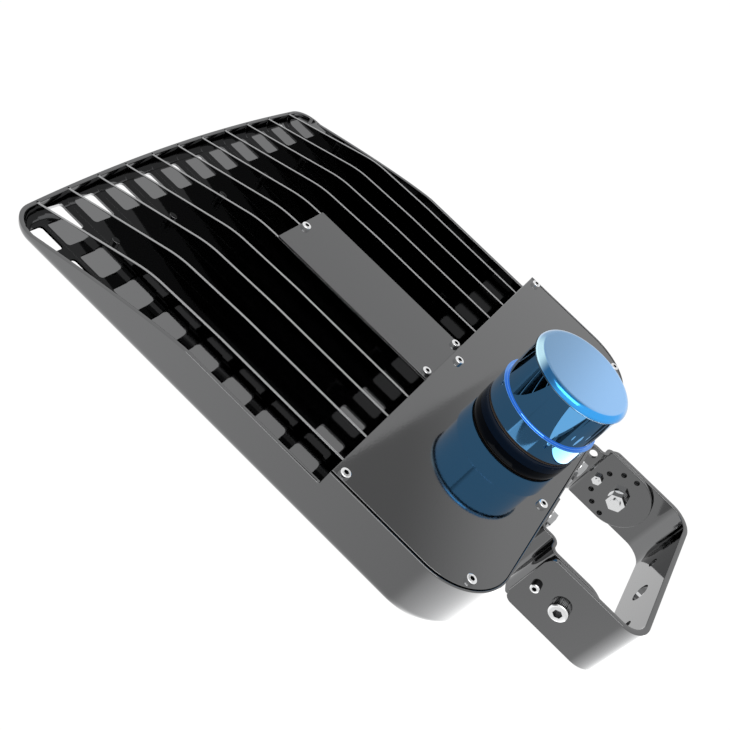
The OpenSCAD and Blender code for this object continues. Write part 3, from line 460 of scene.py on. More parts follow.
skin = tray_skin()
rows, columns = skin.shape[:2]
tray_faces = grid_faces(rows, columns, round_rows=True)[:, ::-1].tolist()
tray_faces += [[i * columns for i in range(rows)][::-1], [i * columns + columns - 1 for i in range(rows)]]
tray = piece("casting_tray", skin, tray_faces, casting_coat, None)

fin_pitch = 30 * mm
fin_count = 11
vent_w = 17 * mm
vent_l = 21 * mm
vent_r = 2.5 * mm
rear_vent_gap = 6.5 * mm
front_vent_gap = 10.5 * mm
side_vent_w = 19.2 * mm
side_vent_l = 20 * mm
side_vent_back = 9 * mm
side_vent_front = 19.5 * mm
side_vent_count = 8
drill_past = 2 * mm
gland_r = 10 * mm
gland_z = 9 * mm
lead_r = 6 * mm
lead_y = field_y + 60 * mm
side_vent_pitch = (field_l - side_vent_back - side_vent_front - side_vent_l) / (side_vent_count - 1)
side_vent_x = half_w - wall_t - 0.02 * mm - side_vent_w / 2
side_vent_y = field_y + side_vent_back + side_vent_l / 2
bay_x = (np.arange(fin_count - 1) - (fin_count - 2) / 2) * fin_pitch
vents = [(x, front_y - front_vent_gap - vent_l / 2, vent_w, vent_l) for x in bay_x]
vents += [(x, field_y + rear_vent_gap + vent_l / 2, vent_w, vent_l) for x in bay_x if abs(x) > fin_pitch]
vents += [(side * side_vent_x, side_vent_y + i * side_vent_pitch, side_vent_w, side_vent_l)
          for side in (-1, 1) for i in range(side_vent_count)]
vent_low, vent_high = under_z - drill_past, under_z + lower_r + 1 * mm
punches = merged([prism(rounded_rect(*vent, vent_r), vent_low, vent_high) for vent in vents])
drills = merged([rod(gland_r, (0, rear_y - drill_past, gland_z), (0, rear_y + seat_t + drill_past, gland_z)),
                 rod(lead_r, (0, lead_y, under_z - drill_past), (0, lead_y, under_z + 4 * drill_past))])
cut(tray, [piece("vent_cutter", *punches, casting_coat, None), piece("hole_cutter", *drills, casting_coat, None)])
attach(tray, "head")
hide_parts("housing")

# The fins: eleven thin cast ribs, a little thicker at the foot, with a fillet on the floor and a
# round top edge. They run level from the compartment, bend down, and end in the front rim.
fin_foot_t = 2.5 * mm
fin_top_t = 1.9 * mm
fin_level_l = 102 * mm
fin_bend_l = 160 * mm
fin_bend_drop = 2 * mm
fin_bend_r = 80 * mm
fin_bend_reach = 15 * mm
fin_sunk = 0.5 * mm
foot_fillet = 0.05 * mm
crest_r = 0.3 * mm
crest_support = 0.4 * mm
full_h = 4 * mm
full_l = 3 * mm
crest_up = 0.8
wireway_l = 141.5 * mm
wireway_t = 1.5 * mm


def fin_top(y, x):
    """Height of a fin's top: three straight lines, the last two joined by a round bend."""
    rim_y = bow_c + np.sqrt(bow_r ** 2 - x ** 2) - wall_t
    knots = field_y + np.array([-1, 0, fin_level_l, fin_bend_l, 0])
    knots[0], knots[-1] = field_y - seat_t, rim_y
    heights = np.array([fin_h, fin_h, fin_h, fin_h - fin_bend_drop, front_rim_h])
    z = np.interp(y, knots, heights)
    before = -fin_bend_drop / (fin_bend_l - fin_level_l)
    after = (front_rim_h - fin_h + fin_bend_drop) / (rim_y - field_y - fin_bend_l)
    reach = fin_bend_r * (before - after) / 2
    off = np.clip(np.abs(y - field_y - fin_bend_l), 0, reach)
    return z - (reach - off) ** 2 / (2 * fin_bend_r) * (off < reach)


def fin(x, start_y, sunk_l):
    """Grid of one fin: a section with draft, foot fillets and a round top, carried along the fin's length.
    Over the sunk length the top lies under the wireway cover."""
    rim_y = bow_c + np.sqrt(bow_r ** 2 - x ** 2)
    bend_y = field_y + fin_bend_l
    y = np.concatenate([np.linspace(start_y, bend_y - fin_bend_reach, 24)[:-1],
                        np.linspace(bend_y - fin_bend_reach, bend_y + fin_bend_reach, 16),
                        np.linspace(bend_y + fin_bend_reach + 1 * mm, rim_y - lower_r, 8),
                        rim_y - lower_r * (1 - np.sin(arc(5, 44.4, 7))), [rim_y - wall_t, rim_y - wall_t / 2]])
    top = fin_top(y, x)
    if sunk_l:
        top = np.where(y < field_y + sunk_l, np.minimum(top, fin_h - wireway_t), top)
    inset = rim_y - y
    share = (lower_r - np.clip(inset, wall_t, lower_r)) / (lower_r - wall_t)
    base = np.where(inset > lower_r, floor_t, lower_r - (lower_r - floor_t) * np.sqrt(1 - share ** 2))
    top = np.maximum(top, base)[:, None]
    base = base[:, None]
    tall = np.clip((top - base) / full_h, 0.001, 1)
    foot = tall * np.clip((inset[:, None] - lower_r) / full_l, 0.01, 1)
    turn = arc(0, 90, 4)[None, :]
    foot_x = fin_foot_t / 2 + foot_fillet * foot * (1 - np.sin(turn))
    foot_z = base + foot_fillet * foot * (1 - np.cos(turn))
    half = fin_top_t / 2
    crown_x = half - crest_r * tall * (1 - np.cos(turn))
    crown_z = top - crest_r * tall * (1 - np.sin(turn))
    flat = np.ones_like(base)
    side_x = np.hstack([(fin_foot_t / 2 + foot_fillet) * flat, foot_x, fin_foot_t / 2 * flat, half * flat, crown_x])
    side_z = np.hstack([base - fin_sunk, foot_z, base + (foot_fillet + crest_support) * tall,
                        top - (crest_r + crest_support) * tall, crown_z])
    ring_x = np.hstack([side_x, -side_x[:, ::-1]])
    ring_z = np.hstack([side_z, side_z[:, ::-1]])
    points = np.stack([x + ring_x, np.broadcast_to(y[:, None], ring_x.shape), under_z + ring_z], -1)
    n, m = ring_x.shape
    faces = grid_faces(n, m, round_columns=True).tolist()
    return points, faces + [list(range(m)), list(range(n * m - m, n * m))[::-1]]


fin_parts = []
for k in range(fin_count):
    off = k - (fin_count - 1) // 2
    start_y = field_y - 1 * mm if off else field_y + wireway_l
    fin_parts.append(fin(off * fin_pitch, start_y, wireway_l if abs(off) == 1 else 0.0))
fins = piece("fins", *merged(fin_parts), casting_coat, "head")
# The upward faces of the fins' round tops get a lighter grey: a painted highlight along the crests.
fins.data.materials.append(material("crest_painted_highlight", (0.34, 0.342, 0.345), 1.0, 700.0, (0.2, 0.3), 0.05))
up = np.empty(len(fins.data.polygons) * 3)
fins.data.polygons.foreach_get("normal", up)
centre = np.empty(len(up))
fins.data.polygons.foreach_get("center", centre)
crest = (up[2::3] > crest_up) & (centre[2::3] > under_z + floor_t + full_h)
fins.data.polygons.foreach_set("material_index", crest.astype(np.int32))

# The wall between the fins and the driver compartment, cast with the tray: plain, upright, with
# a fillet at its foot, a soft edge at its top, where the cover's gasket lies, and a hole for the
# wires. The compartment's floor is raised a little behind it.
wall_fillet = 1.5 * mm
wall_back = field_y - seat_t
pad_sunk = 0.8 * mm
pad_lap = 0.5 * mm
wire_hole_r = 6 * mm
wire_hole_x = 12.5 * mm
wire_hole_z = 4.5 * mm


def compartment_plan(inset, front):
    """Plan of the compartment, drawn inwards by the inset and ending at a straight front line."""
    corner = arc(180, 270, 36)
    left = np.column_stack([rear_r - half_w + (rear_r - inset) * np.cos(corner),
                            rear_y + rear_r + (rear_r - inset) * np.sin(corner)])
    return np.vstack([left, left[::-1] * [-1, 1], [[half_w - inset, front], [inset - half_w, front]]])


def along_x(section, half):
    """A closed section in y and z, carried across the head to each point's half width, with both ends closed."""
    n = len(section)
    points = np.stack([np.column_stack([x, section]) for x in (-half, half)])
    faces = grid_faces(2, n, round_columns=True).tolist()
    return points, faces + [list(range(n)), list(range(n, 2 * n))[::-1]]


rise = under_z + np.linspace(1, 11, 11)[:, None] * mm
round_top = arc(0, 90, 4)
round_foot = arc(0, 90, 6)
section = np.vstack([
    np.hstack([np.full_like(rise, wall_back), rise]), [[wall_back, under_z + seat_h]],
    [[field_y - cast_edge - support, under_z + seat_h]],
    np.column_stack([field_y - cast_edge * (1 - np.sin(round_top)),
                     under_z + seat_h - cast_edge * (1 - np.cos(round_top))]),
    [[field_y, under_z + seat_h - 2 * support]],
    np.hstack([np.full_like(rise, field_y), rise])[:2:-1],
    np.column_stack([field_y + wall_fillet * (1 - np.cos(round_foot)),
                     under_z + floor_t + wall_fillet * (1 - np.sin(round_foot))]),
    [[field_y + wall_fillet, under_z + 1 * mm]]])[::-1]
pad = prism(compartment_plan(seat_t - pad_lap, wall_back + pad_lap), under_z + pad_sunk, under_z + pad_t)
depth = np.clip((lower_r - (section[:, 1] - under_z)) / (lower_r - pad_sunk), 0, 1)
wall_half = half_w - lower_r + (lower_r - wall_t / 2) * np.sqrt(1 - depth ** 2)
front_wall = piece("compartment_wall", *merged([along_x(section, wall_half), pad]), casting_coat, None)
wire_hole = rod(wire_hole_r, (wire_hole_x, wall_back - drill_past, wire_hole_z),
                (wire_hole_x, field_y + 2 * drill_past, wire_hole_z))
cut(front_wall, [piece("wire_cutter", *wire_hole, casting_coat, None)])
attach(front_wall, "head")

# Bosses of the casting: round posts for the screws of the wireway cover and, low on the floor,
# for those of the lens frame below.
post_r = 4.5 * mm
post_sunk = 2 * mm
low_post_r = 3.5 * mm
low_post_h = 5 * mm
post_edge = 0.5 * mm
low_post_edge = 0.3 * mm
plate_screw_x = 25.5 * mm
plate_screw_in = 4 * mm
engine_y = field_y + 121 * mm
engine_l = 176 * mm
engine_screw_in = 7.5 * mm


def revolve(profile, centre, steps):
    """Surface of revolution about a vertical line: each profile point is a radius and a height."""
    turn = np.linspace(0, 2 * np.pi, steps, endpoint=False)
    radius, z = np.asarray(profile, float).T
    points = np.stack([centre[0] + radius[:, None] * np.cos(turn), centre[1] + radius[:, None] * np.sin(turn),
                       np.broadcast_to(z[:, None], (len(z), steps))], -1)
    n = len(z)
    faces = grid_faces(n, steps, round_columns=True)[:, ::-1].tolist()
    if radius[0] > 0:
        faces.append(list(range(steps))[::-1])
    if radius[-1] > 0:
        faces.append(list(range((n - 1) * steps, n * steps)))
    return points, faces


def rounded_post(radius, low, high, edge):
    """Profile of a post whose top edge is round."""
    turn = arc(0, 90, 5)
    return ([(radius, low), (radius, high - edge - low_post_edge)]
            + list(zip(radius - edge * (1 - np.cos(turn)), high - edge * (1 - np.sin(turn)))))


plate_screws = [(0, field_y + wireway_l - plate_screw_in), (-plate_screw_x, field_y + plate_screw_in),
                (plate_screw_x, field_y + plate_screw_in)]
engine_screws = [(i * 2 * fin_pitch, engine_y + side * (engine_l / 2 - engine_screw_in))
                 for i in range(-2, 3) for side in (-1, 1)]
tall_post = rounded_post(post_r, under_z + post_sunk, under_z + fin_h - wireway_t, post_edge)
low_post = rounded_post(low_post_r, under_z + post_sunk, under_z + pad_t + low_post_h, low_post_edge)
posts = [revolve(tall_post, at, 32) for at in plate_screws] + [revolve(low_post, at, 32) for at in engine_screws]
bosses = piece("bosses", *merged(posts), casting_coat, "head")

# The wireway cover: a plain rectangle of coated sheet over the channel between the two fins
# beside the middle one, with rounded cut edges. Three screws hold it.
plate_half = fin_pitch + 1.1 * mm
plate_corner_r = 1.0 * mm
plate_edge = 0.35 * mm


def sheet_plate(name, loop, low, high, edge, coat, body):
    """Flat plate from a closed outline, with round edges of the given size."""
    curve = bpy.data.curves.new(name, "CURVE")
    curve.dimensions = "2D"
    curve.fill_mode = "BOTH"
    curve.extrude = (high - low) / 2 - edge
    curve.bevel_depth = edge
    curve.bevel_resolution = 3
    curve.offset = -edge
    spline = curve.splines.new("POLY")
    spline.points.add(len(loop) - 1)
    spline.points.foreach_set("co", np.column_stack([loop, np.zeros(len(loop)), np.ones(len(loop))]).ravel())
    spline.use_cyclic_u = True
    flat = placed(name, curve)
    bpy.context.view_layer.update()
    mesh = bpy.data.meshes.new_from_object(flat.evaluated_get(bpy.context.evaluated_depsgraph_get()))
    bpy.data.objects.remove(flat)
    mesh.transform(Matrix.Translation((0, 0, (low + high) / 2)))
    mesh.materials.clear()
    mesh.materials.append(coat)
    smooth(mesh)
    new = placed(name, mesh)
    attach(new, body)
    return new


plate_loop = rounded_rect(0, field_y + wireway_l / 2, 2 * plate_half, wireway_l, plate_corner_r, 3)
cover_coat = material("cover_coat", (0.145, 0.146, 0.148), 1.0, 700.0, (0.03, 0.06), 0.04)
plate_coat = material("plate_coat", (0.127, 0.128, 0.13), 1.0, 700.0, (0.03, 0.06), 0.04)
plate = sheet_plate("wireway_plate", plate_loop, under_z + fin_h - wireway_t, under_z + fin_h, plate_edge,
                    plate_coat, "head")
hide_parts("wireway_cover")

# The driver cover: a flat cast lid let into the compartment's lip, with a dark gap at the sides, a
# close fit along the rear and its front edge flush with the compartment wall.
cover_inset = 2.8 * mm
cover_rear_inset = 1.5 * mm
cover_t = 3 * mm
cover_edge = 0.5 * mm
lid_loop = compartment_plan(cover_inset, field_y)
corner_y = rear_y + rear_r
stretch = (rear_r - cover_rear_inset) / (rear_r - cover_inset)
lid_loop[:-2, 1] = corner_y + (lid_loop[:-2, 1] - corner_y) * stretch
cover = sheet_plate("driver_cover_lid", lid_loop, under_z + casting_h - cover_t, under_z + casting_h, cover_edge,
                    cover_coat, "head")
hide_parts("driver_cover")

# The yoke: a strip of steel sheet, 51 mm wide and 4 mm thick, bent to a U and coated like the
# head. The free ends have round corners and the base has its three holes.
pivot_y = 49.5 * mm
yoke_t = 4 * mm
yoke_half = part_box("yoke")[1].x
yoke_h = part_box("yoke")[1].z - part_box("yoke")[0].z
yoke_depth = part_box("yoke")[1].y
yoke_bend_r = 15 * mm
yoke_corner_r = 7 * mm
yoke_edge = 0.5 * mm
mount_hole_r = 7.5 * mm
side_hole_r = 4 * mm
side_hole_x = 39 * mm
edge_support = 0.4 * mm


def strip_path(start, heading, steps, t, bend_r):
    """Middle line of a bent strip. Each step is a straight run and then a turn in degrees. Gives rows of
    a point and its heading, and the distance along the strip."""
    at, way, xs = np.array(start, float), np.radians(heading), []
    mid_r = bend_r + t / 2
    for run, turn in steps:
        ahead = np.array([np.cos(way), np.sin(way)])
        xs += [(*(at + ahead * run * s), way) for s in np.linspace(0, 1, 40)]
        at = at + ahead * run
        if turn:
            side = np.sign(turn)
            centre = at + side * mid_r * np.array([-np.sin(way), np.cos(way)])
            ways = way + np.radians(np.linspace(0, turn, 25))
            xs += [(*(centre + side * mid_r * np.array([np.sin(w), -np.cos(w)])), w) for w in ways[1:-1]]
            way = ways[-1]
            at = centre + side * mid_r * np.array([np.sin(way), -np.cos(way)])
    xs = np.array(xs)
    xs = xs[np.append(True, np.hypot(*np.diff(xs[:, :2], axis=0).T) > 1e-9)]
    return xs, np.append(0, np.cumsum(np.hypot(*np.diff(xs[:, :2], axis=0).T)))


def strip(path, low, high, t, edge):
    """Bent strip of sheet: a section with round edges between its low and high line, carried along the path."""
    x, y, way = path.T
    turn = arc(0, 90, 3)
    flat = edge + edge_support
    side = [np.append(edge * np.sin(turn), edge), np.append(edge, edge * np.cos(turn))]
    across = np.concatenate([t / 2 - edge + side[0], t / 2 - edge + side[1],
                             edge - t / 2 - side[0], edge - t / 2 - side[1]])
    rise = np.append(edge * (1 - np.cos(turn)), flat)
    lift = np.concatenate([rise, -rise[::-1], -rise, rise[::-1]])
    upper = np.concatenate([np.zeros(5), np.ones(10), np.zeros(5)])
    z = low[:, None] * (1 - upper) + high[:, None] * upper + lift
    px = x[:, None] - np.sin(way)[:, None] * across
    py = y[:, None] + np.cos(way)[:, None] * across
    n, m = z.shape
    faces = grid_faces(n, m, round_columns=True).tolist()
    return np.stack([px, py, z], -1), faces + [list(range(m)), list(range(n * m - m, n * m))[::-1]]


sheet_coat = material("sheet_coat", (0.15, 0.151, 0.153), 1.0, 800.0, (0.05, 0.1), 0.06)
mid_r = yoke_bend_r + yoke_t / 2
arm_l = yoke_depth - yoke_t / 2 - mid_r
base_l = 2 * yoke_half - yoke_t - 2 * mid_r
yoke_path, far = strip_path((yoke_t / 2 - yoke_half, yoke_depth), -90, [(arm_l, 90), (base_l, 90), (arm_l, 0)],
                            yoke_t, yoke_bend_r)
ends = np.minimum(far, far[-1] - far)
drop = yoke_corner_r - np.sqrt(np.maximum(yoke_corner_r ** 2 - np.maximum(yoke_corner_r - ends, 0) ** 2, 0))
yoke_grid = strip(yoke_path, -yoke_h / 2 + drop, yoke_h / 2 - drop, yoke_t, yoke_edge)
yoke = piece("yoke_strip", *yoke_grid, sheet_coat, None)
drills = merged([rod(r, (x, -drill_past, 0), (x, yoke_t + drill_past, 0))
                 for x, r in ((0, mount_hole_r), (-side_hole_x, side_hole_r), (side_hole_x, side_hole_r))])
cut(yoke, [piece("drill", *drills, sheet_coat, None)])
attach(yoke, "yoke")
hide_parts("yoke")

# The ears: stepped brackets of 3 mm sheet, coated like the yoke. Each has a round end on its arm,
# with seven index holes on an arc about the pivot bolt, and a flange that two hex bolts hold on
# the head's rear wall. The right one has a hole near its step.
ear_t = 3 * mm
ear_bend_r = 3 * mm
ear_x = yoke_half - yoke_t - 0.5 * mm
ear_jog_y = yoke_depth + 2.5 * mm
ear_mid_r = ear_bend_r + ear_t / 2
ear_r = yoke_h / 2
ear_edge = 0.4 * mm
ear_least = 0.6 * mm
ear_jog = 11 * mm
ear_flange = 38 * mm
slope_l = 12 * mm
slope_back = 3 * mm
toe_z = under_z + 1 * mm
index_r = 21 * mm
index_hole_r = 2.2 * mm
index_turns = np.radians(np.arange(-90, 91, 30))
step_hole_r = 3.5 * mm
step_hole_y = (ear_jog_y + rear_y) / 2
step_hole_z = yoke_h / 2 - 6 * mm
for side, name in ((-1, "left"), (1, "right")):
    steps = [(ear_jog_y - ear_mid_r - (pivot_y - ear_r), side * 90), (ear_jog - 2 * ear_mid_r, -side * 90),
             (rear_y - ear_jog_y - ear_t / 2 - 2 * ear_mid_r, side * 90), (ear_flange - ear_mid_r - ear_t / 2, 0)]
    path, far = strip_path((side * (ear_x - ear_t / 2), pivot_y - ear_r), 90, steps, ear_t, ear_bend_r)
    tall = np.sqrt(np.maximum(ear_r ** 2 - (ear_r - np.minimum(far, ear_r)) ** 2, ear_least ** 2))
    slope = np.clip((path[:, 1] - ear_jog_y + slope_back) / slope_l, 0, 1)
    low = np.where(far > ear_r, -ear_r + (toe_z + ear_r) * slope, -tall)
    ear = piece(f"{name}_ear_bracket", *strip(path, low, tall, ear_t, ear_edge), sheet_coat, None)
    x0, x1 = side * (ear_x - ear_t - drill_past), side * (ear_x + drill_past)
    index_ats = [(pivot_y + index_r * np.cos(a), index_r * np.sin(a)) for a in index_turns]
    holes = [rod(index_hole_r, (x0, *at), (x1, *at), 32) for at in index_ats]
    if name == "right":
        holes.append(rod(step_hole_r, (x0 - ear_jog - drill_past / 2, step_hole_y, step_hole_z),
                         (x1 - ear_jog + drill_past, step_hole_y, step_hole_z), 32))
    cut(ear, [piece("drill", *merged(holes), sheet_coat, None)])
    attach(ear, "head")
    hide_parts(f"{name}_ear")

# Bolts, nuts, washers and screws: bright stainless steel, turned and rolled, with hex sockets in the round heads.
# The hex bolts that hold the ears are the same steel drawn darker, a painted shade.
weld = 0.002 * mm
side_head_h = 3.5 * mm
top_head_h = 2.2 * mm
socket_share = 0.5
flank_share = 0.9
flank_from = 0.25
flank_to = 1.2
steel = material("bright_steel", (0.78, 0.785, 0.79), 1.0, 1500.0, (0.12, 0.2), 0.06)
# The ear bolts' steel is drawn darker than the bright steel: painted shade.
steel_painted_shade = material("ear_steel_painted_shade", (0.36, 0.365, 0.37), 1.0, 1500.0, (0.06, 0.12), 0.06)
socket_shade = material("socket_shade", (0.05, 0.05, 0.052), 1.0, 900.0, (0.3, 0.45), 0.1)


def triangles(mesh):
    """Points of a mesh of triangles and the point numbers of each triangle, as arrays."""
    co = np.empty(len(mesh.vertices) * 3)
    mesh.vertices.foreach_get("co", co)
    corners = np.empty(len(mesh.loops), np.int32)
    mesh.loops.foreach_get("vertex_index", corners)
    return co.reshape(-1, 3), corners.reshape(-1, 3)


def smoothed(source, name, coat, body, sharp=32.0, shape=None):
    """Copy of a CAD node with its doubles merged, smooth but for edges sharper than the angle. The shape
    function may move its points."""
    co, corners = triangles(nodes[source].data)
    if shape:
        co = shape(co)
    key = np.round(co / weld).astype(np.int64)
    _, first, where = np.unique(key, axis=0, return_index=True, return_inverse=True)
    faces = where.ravel()[corners]
    good = (faces[:, 0] != faces[:, 1]) & (faces[:, 1] != faces[:, 2]) & (faces[:, 0] != faces[:, 2])
    new = piece(name, co[first], faces[good], coat, body, sharp)
    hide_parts(source)
    return new


def shade_sockets(screws, axis, way, head_h, sides=False):
    """Puts the shade material on the faces of each screw's hex socket, those near its axis within the head.
    The axis is 0, 1 or 2, the way gives its outward sign for a screw's centre, and sides adds the head's
    flanks. A screw is the points that faces join: each takes the lowest number among its neighbours."""
    mesh = screws.data
    mesh.materials.append(socket_shade)
    co, faces = triangles(mesh)
    label = np.arange(len(co))
    while True:
        low = label.copy()
        np.minimum.at(low, faces.ravel(), np.repeat(label[faces].min(axis=1), 3))
        if (low == label).all():
            break
        label = low
    middle = co[faces].mean(axis=1)
    index = np.zeros(len(faces), np.int32)
    flat = [k for k in range(3) if k != axis]
    for one in np.unique(label):
        points = co[label == one]
        centre = (points.min(axis=0) + points.max(axis=0)) / 2
        sign = way(centre)
        top = (points[:, axis] * sign).max()
        head_r = np.ptp(points[:, flat[0]]) / 2
        of_screw = label[faces[:, 0]] == one
        depth = top - middle[:, axis] * sign
        far = np.hypot(*(middle[:, flat] - centre[flat]).T)
        index[of_screw & (depth > 10 * weld) & (depth < head_h) & (far < socket_share * head_r)] = 1
        if sides:
            flank = (depth > flank_from * head_h) & (depth < flank_to * head_h) & (far > flank_share * head_r)
            index[of_screw & flank] = 1
    mesh.polygons.foreach_set("material_index", index)


for source in ("pivot_bolts", "pivot_washers", "pivot_nuts", "index_bolts", "index_nuts"):
    bright = smoothed(source, source + "_steel", steel, "yoke")
    if source in ("pivot_bolts", "index_bolts"):
        shade_sockets(bright, 0, lambda centre: np.sign(centre[0]), side_head_h, True)
smoothed("ear_bolts", "ear_bolts_painted_shade", steel_painted_shade, "head")
for source in ("ear_washers", "wireway_cover_screws", "driver_cover_screws", "led_driver_screws", "lens_screws"):
    bright = smoothed(source, source + "_steel", steel, "head")
    if source in ("wireway_cover_screws", "driver_cover_screws"):
        shade_sockets(bright, 2, lambda centre: 1, top_head_h)

# The receptacle: a black moulded socket that turns in the driver cover, a low drum with curved slots
# in its top and a body that goes down through the cover. Its gasket, and the other seals and
# bushings of the head, are black rubber.
cell_y = rear_y + 46 * mm
top_z = under_z + casting_h
drum_r = 38.6 * mm
drum_rise = 1.7 * mm
drum_from = 1.25
drum_low_z = top_z + 5 * mm
drum_high_z = top_z + 6.5 * mm
turned_r = 30 * mm
flange_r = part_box("receptacle")[1].x


def drawn_in(outer, reach, inner):
    """Shape function for a turned piece. Radii from inner to outer about the photocell's axis are drawn in,
    so that the outer one becomes the reach, and the top of the wide drum is lifted."""
    def shape(co):
        off = co[:, :2] - (0, cell_y)
        far = np.hypot(*off.T)
        new = np.where(far > inner, inner + (far - inner) * (reach - inner) / (outer - inner), far)
        step = (far > drum_from * inner) & (co[:, 2] > drum_low_z) & (co[:, 2] < drum_high_z)
        co[:, :2] = (0, cell_y) + off * (new / np.maximum(far, 1e-6))[:, None]
        co[:, 2] += drum_rise * step
        return co
    return shape


# The black plastic is tinted navy: painted blue light from the photocell's blue cap.
black_plastic = material("black_plastic", (0.002, 0.007, 0.018), 0.0, 500.0, (0.04, 0.09), 0.04,
                         Specular_IOR_Level=0.12)
rubber = material("black_rubber", (0.012, 0.012, 0.013), 0.0, 400.0, (0.45, 0.6), 0.3)
to_drum = drawn_in(flange_r, drum_r, turned_r)
smoothed("receptacle", "receptacle_body", black_plastic, "receptacle", 28.0, to_drum)
smoothed("receptacle_ring", "receptacle_lock_ring", black_plastic, "receptacle")
smoothed("receptacle_gasket", "receptacle_seal", rubber, "receptacle", shape=to_drum)
for source in ("cable_grommet", "wireway_grommet", "driver_cover_gasket", "lens_gasket"):
    smoothed(source, source + "_seal", rubber, "head")

# The photocell: a glossy blue plastic cap on a black base, with a brown foam gasket below. The cap
# has a ledge over its skirt, a flat top and a round rim, and its base twists into the receptacle.
# The photo shows nothing behind the blue, so it is drawn opaque.
cap_r = 37.0 * mm
cap_rim_r = 38.3 * mm
cap_rim_h = 5 * mm
cap_top_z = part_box("photocell_dome")[1].z
skirt_r = 39.2 * mm
skirt_low_r = 38.2 * mm
skirt_low_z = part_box("photocell_dome")[0].z
ledge_z = skirt_low_z + 16.7 * mm
cap_wall = 1.4 * mm
cap_edge = 0.4 * mm
ledge_edge = 0.3 * mm
lip_h = 0.5 * mm
row = 0.1 * mm
pole_r = 0.01 * mm
hollow_edge = 2 * mm
seal_r = 37.4 * mm
foot_r = 36.4 * mm
cap_blue = (0.12, 0.43, 0.83)
# Bands by height: a brighter line at the ledge as painted reflection, a dark band under the rim as painted shadow,
# a pale line at the rim's lower edge as painted highlight.
ledge_painted_reflection = (0.08, 0.27, 0.75)
shadow_blue = (0.02, 0.07, 0.13)
rim_edge_painted_highlight = (0.35, 0.62, 0.9)
# Painted reflection on the cap: the top's blue darkens along +y, and on the -x side the rim is a band that darkens
# along +y and then turns pale cyan, a painted highlight.
top_painted_reflections = ((0.27, 0.54, 0.93), (0.14, 0.31, 0.53))
rim_painted_reflections = ((0.03, 0.36, 0.88), (0.005, 0.10, 0.26))
rim_painted_highlight = (0.5, 0.78, 0.9)
top_reflection_span = (cell_y - 30 * mm, cell_y + 36 * mm)
rim_reflection_span = (cell_y + 2 * mm, cell_y + 16 * mm)
rim_highlight_span = (cell_y + 20 * mm, cell_y + 30 * mm)
rim_reflection_side_span = (-14 * mm, 2 * mm)
zone_soft = 0.3 * mm
foam = material("brown_foam", (0.05, 0.038, 0.03), 0.0, 400.0, (0.45, 0.6), 0.3)
smoothed("photocell_gasket", "photocell_seal", foam, "photocell",
         shape=drawn_in(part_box("photocell_gasket")[1].x, seal_r, turned_r))
smoothed("photocell_base", "photocell_foot", black_plastic, "photocell",
         shape=drawn_in(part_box("photocell_base")[1].x, foot_r, turned_r))


def graded(tree, axis, span, first, second):
    """Colour that changes over the span, along an axis of the object, from the first tint to the second."""
    blend = node(tree, "ShaderNodeMix", data_type="RGBA")
    step = ranged(tree, places(tree, "Object")[1][axis], span, kind="SMOOTHSTEP")
    link(tree, (step, blend.inputs["Factor"]))
    for socket, tint in ((blend.inputs[6], first), (blend.inputs[7], second)):
        if isinstance(tint, tuple):
            socket.default_value = (*tint, 1)
        else:
            link(tree, (tint, socket))
    return blend.outputs[2]


def zoned(mat, zones, size):
    """Base colour and roughness in zones of height. Each zone has the height where it starts, its colour
    and what it adds to the roughness below it, and the borders are as soft as the size."""
    tree = mat.node_tree
    shader = tree.nodes["Principled BSDF"]
    rough = shader.inputs["Roughness"].links[0].from_socket
    height = places(tree, "Object")[1]["Z"]
    colour = tuple(shader.inputs["Base Color"].default_value)[:3]
    for start, tint, extra in zones:
        span = (start - size / 2, start + size / 2)
        colour = graded(tree, "Z", span, colour, tint)
        rough = maths(tree, "MULTIPLY_ADD", ranged(tree, height, span), extra, rough)
    link(tree, (colour, shader.inputs["Base Color"]), (rough, shader.inputs["Roughness"]))


dome_blue = material("dome_blue", cap_blue, 1.0, 300.0, (0.015, 0.03), 0.01, Coat_Weight=0.5, Coat_Roughness=0.02)
tree = dome_blue.node_tree
# The top and the -x side of the rim take a painted reflection and a painted highlight, graded in object y and x.
top_painted_reflection = graded(tree, "Y", top_reflection_span, *top_painted_reflections)
rim_painted_reflection = graded(tree, "Y", rim_highlight_span, graded(tree, "Y", rim_reflection_span, *rim_painted_reflections), rim_painted_highlight)
rim_painted_reflection = graded(tree, "X", rim_reflection_side_span, rim_painted_reflection, top_painted_reflection)
rim_z = cap_top_z - cap_rim_h
# Height zones: painted reflection at the ledge, painted shadow under the rim, painted highlight at the rim's lower
# edge, then the painted reflections of rim and top.
zoned(dome_blue, [(ledge_z - 0.25 * mm, ledge_painted_reflection, 0.04), (ledge_z + 0.4 * mm, cap_blue, -0.04),
                  (rim_z - 1.1 * mm, shadow_blue, 0.0), (rim_z - 0.2 * mm, rim_edge_painted_highlight, 0.08),
                  (rim_z + 0.4 * mm, rim_painted_reflection, 0.02), (cap_top_z - 0.25 * mm, top_painted_reflection, 0.12)], zone_soft)
turn = arc(0, 90, 12)
small = arc(0, 90, 4)
outer = ([(skirt_low_r - cap_edge * (1 - np.sin(a)), skirt_low_z + cap_edge * (1 - np.cos(a))) for a in small]
         + [(skirt_low_r + row / 2, skirt_low_z + 2 * cap_edge), (skirt_r - row / 2, ledge_z - 2 * cap_edge)]
         + [(skirt_r - ledge_edge * (1 - np.cos(a)), ledge_z - ledge_edge * (1 - np.sin(a))) for a in small]
         + [(skirt_r - 2 * ledge_edge, ledge_z), (cap_r + ledge_edge, ledge_z), (cap_r, ledge_z + ledge_edge),
            (cap_r, ledge_z + 1 * mm), (cap_r, rim_z - 2 * lip_h), (cap_r, rim_z - lip_h - row),
            (cap_rim_r - 2 * row, rim_z - lip_h)]
         + [(cap_rim_r - cap_rim_h * (1 - np.cos(a)), rim_z + cap_rim_h * np.sin(a)) for a in turn]
         + [(cap_rim_r - cap_rim_h - 1 * mm, cap_top_z), (pole_r, cap_top_z)])
hollow_r = cap_r - cap_wall
hollow_z = cap_top_z - cap_wall
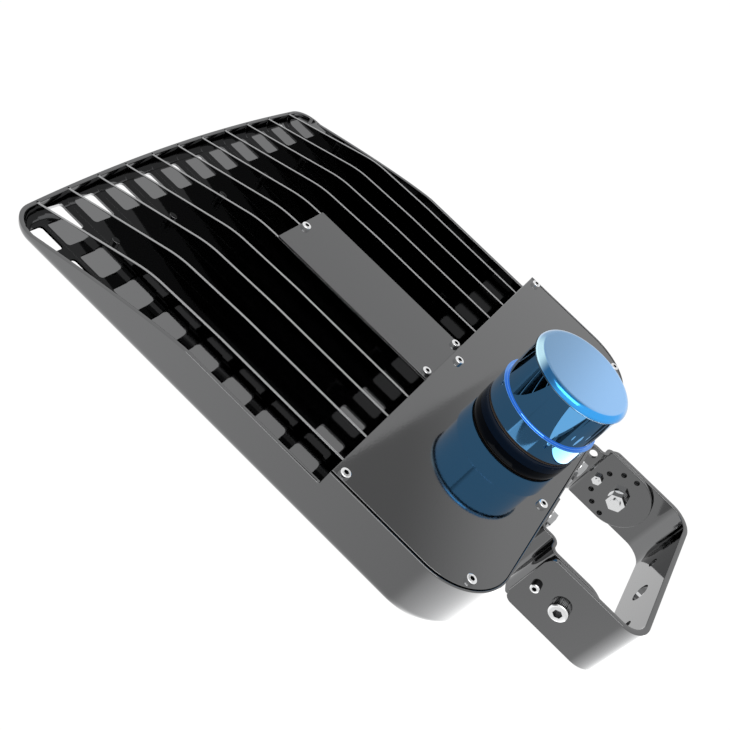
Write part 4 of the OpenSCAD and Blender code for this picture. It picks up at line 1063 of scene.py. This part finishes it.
inner = [(pole_r, hollow_z), (hollow_r - hollow_edge, hollow_z), (hollow_r, hollow_z - hollow_edge),
         (hollow_r, ledge_z), (skirt_r - cap_wall, ledge_z - cap_wall), (skirt_low_r - cap_wall, skirt_low_z)]
cap = piece("photocell_cap", *revolve(inner + outer, (0, cell_y), 128), dome_blue, "photocell", 30.0)
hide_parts("photocell_dome")

# The electrical parts of the photocell and its receptacle: blades and contacts stamped from brass,
# and a green circuit board under the cap.
brass = material("stamped_brass", (0.75, 0.58, 0.25), 1.0, 900.0, (0.15, 0.25), 0.1)
smoothed("photocell_blades", "photocell_blades_brass", brass, "photocell")
smoothed("receptacle_contacts", "receptacle_contacts_brass", brass, "receptacle")
green_resist = material("green_resist", (0.05, 0.22, 0.09), 0.0, 500.0, (0.25, 0.35), 0.1)
smoothed("photocell_board", "photocell_circuit", green_resist, "photocell")

# The light engine under the casting: white board, yellow packages, clear lens panel with a dome
# over each package, and a coated frame that clamps it.
white_resist = material("white_resist", (0.82, 0.83, 0.8), 0.0, 500.0, (0.25, 0.35), 0.1)
phosphor = material("phosphor", (0.85, 0.7, 0.18), 0.0, 900.0, (0.4, 0.5), 0.1)
lens_clear = material("lens_clear", (0.93, 0.96, 0.97), 0.0, 200.0, (0.02, 0.05), 0.01, Transmission_Weight=0.95,
                      IOR=1.58)
smoothed("led_board", "led_board_white", white_resist, "head")
smoothed("leds", "led_packages", phosphor, "head")
smoothed("lens_panel", "lens_panel_clear", lens_clear, "head", 25.0)
smoothed("lens_frame", "lens_frame_coated", cover_coat, "head")

# Inside the compartment: the potted driver in its plain case, a black surge protector and a white
# terminal block with three poles.
plain_case = material("plain_case", (0.6, 0.61, 0.62), 1.0, 600.0, (0.3, 0.42), 0.15)
white_plastic = material("white_plastic", (0.7, 0.7, 0.66), 0.0, 500.0, (0.35, 0.45), 0.15)
smoothed("led_driver", "led_driver_case", plain_case, "head")
smoothed("surge_protector", "surge_protector_block", black_plastic, "head")
smoothed("terminal_block", "terminal_block_white", white_plastic, "head")
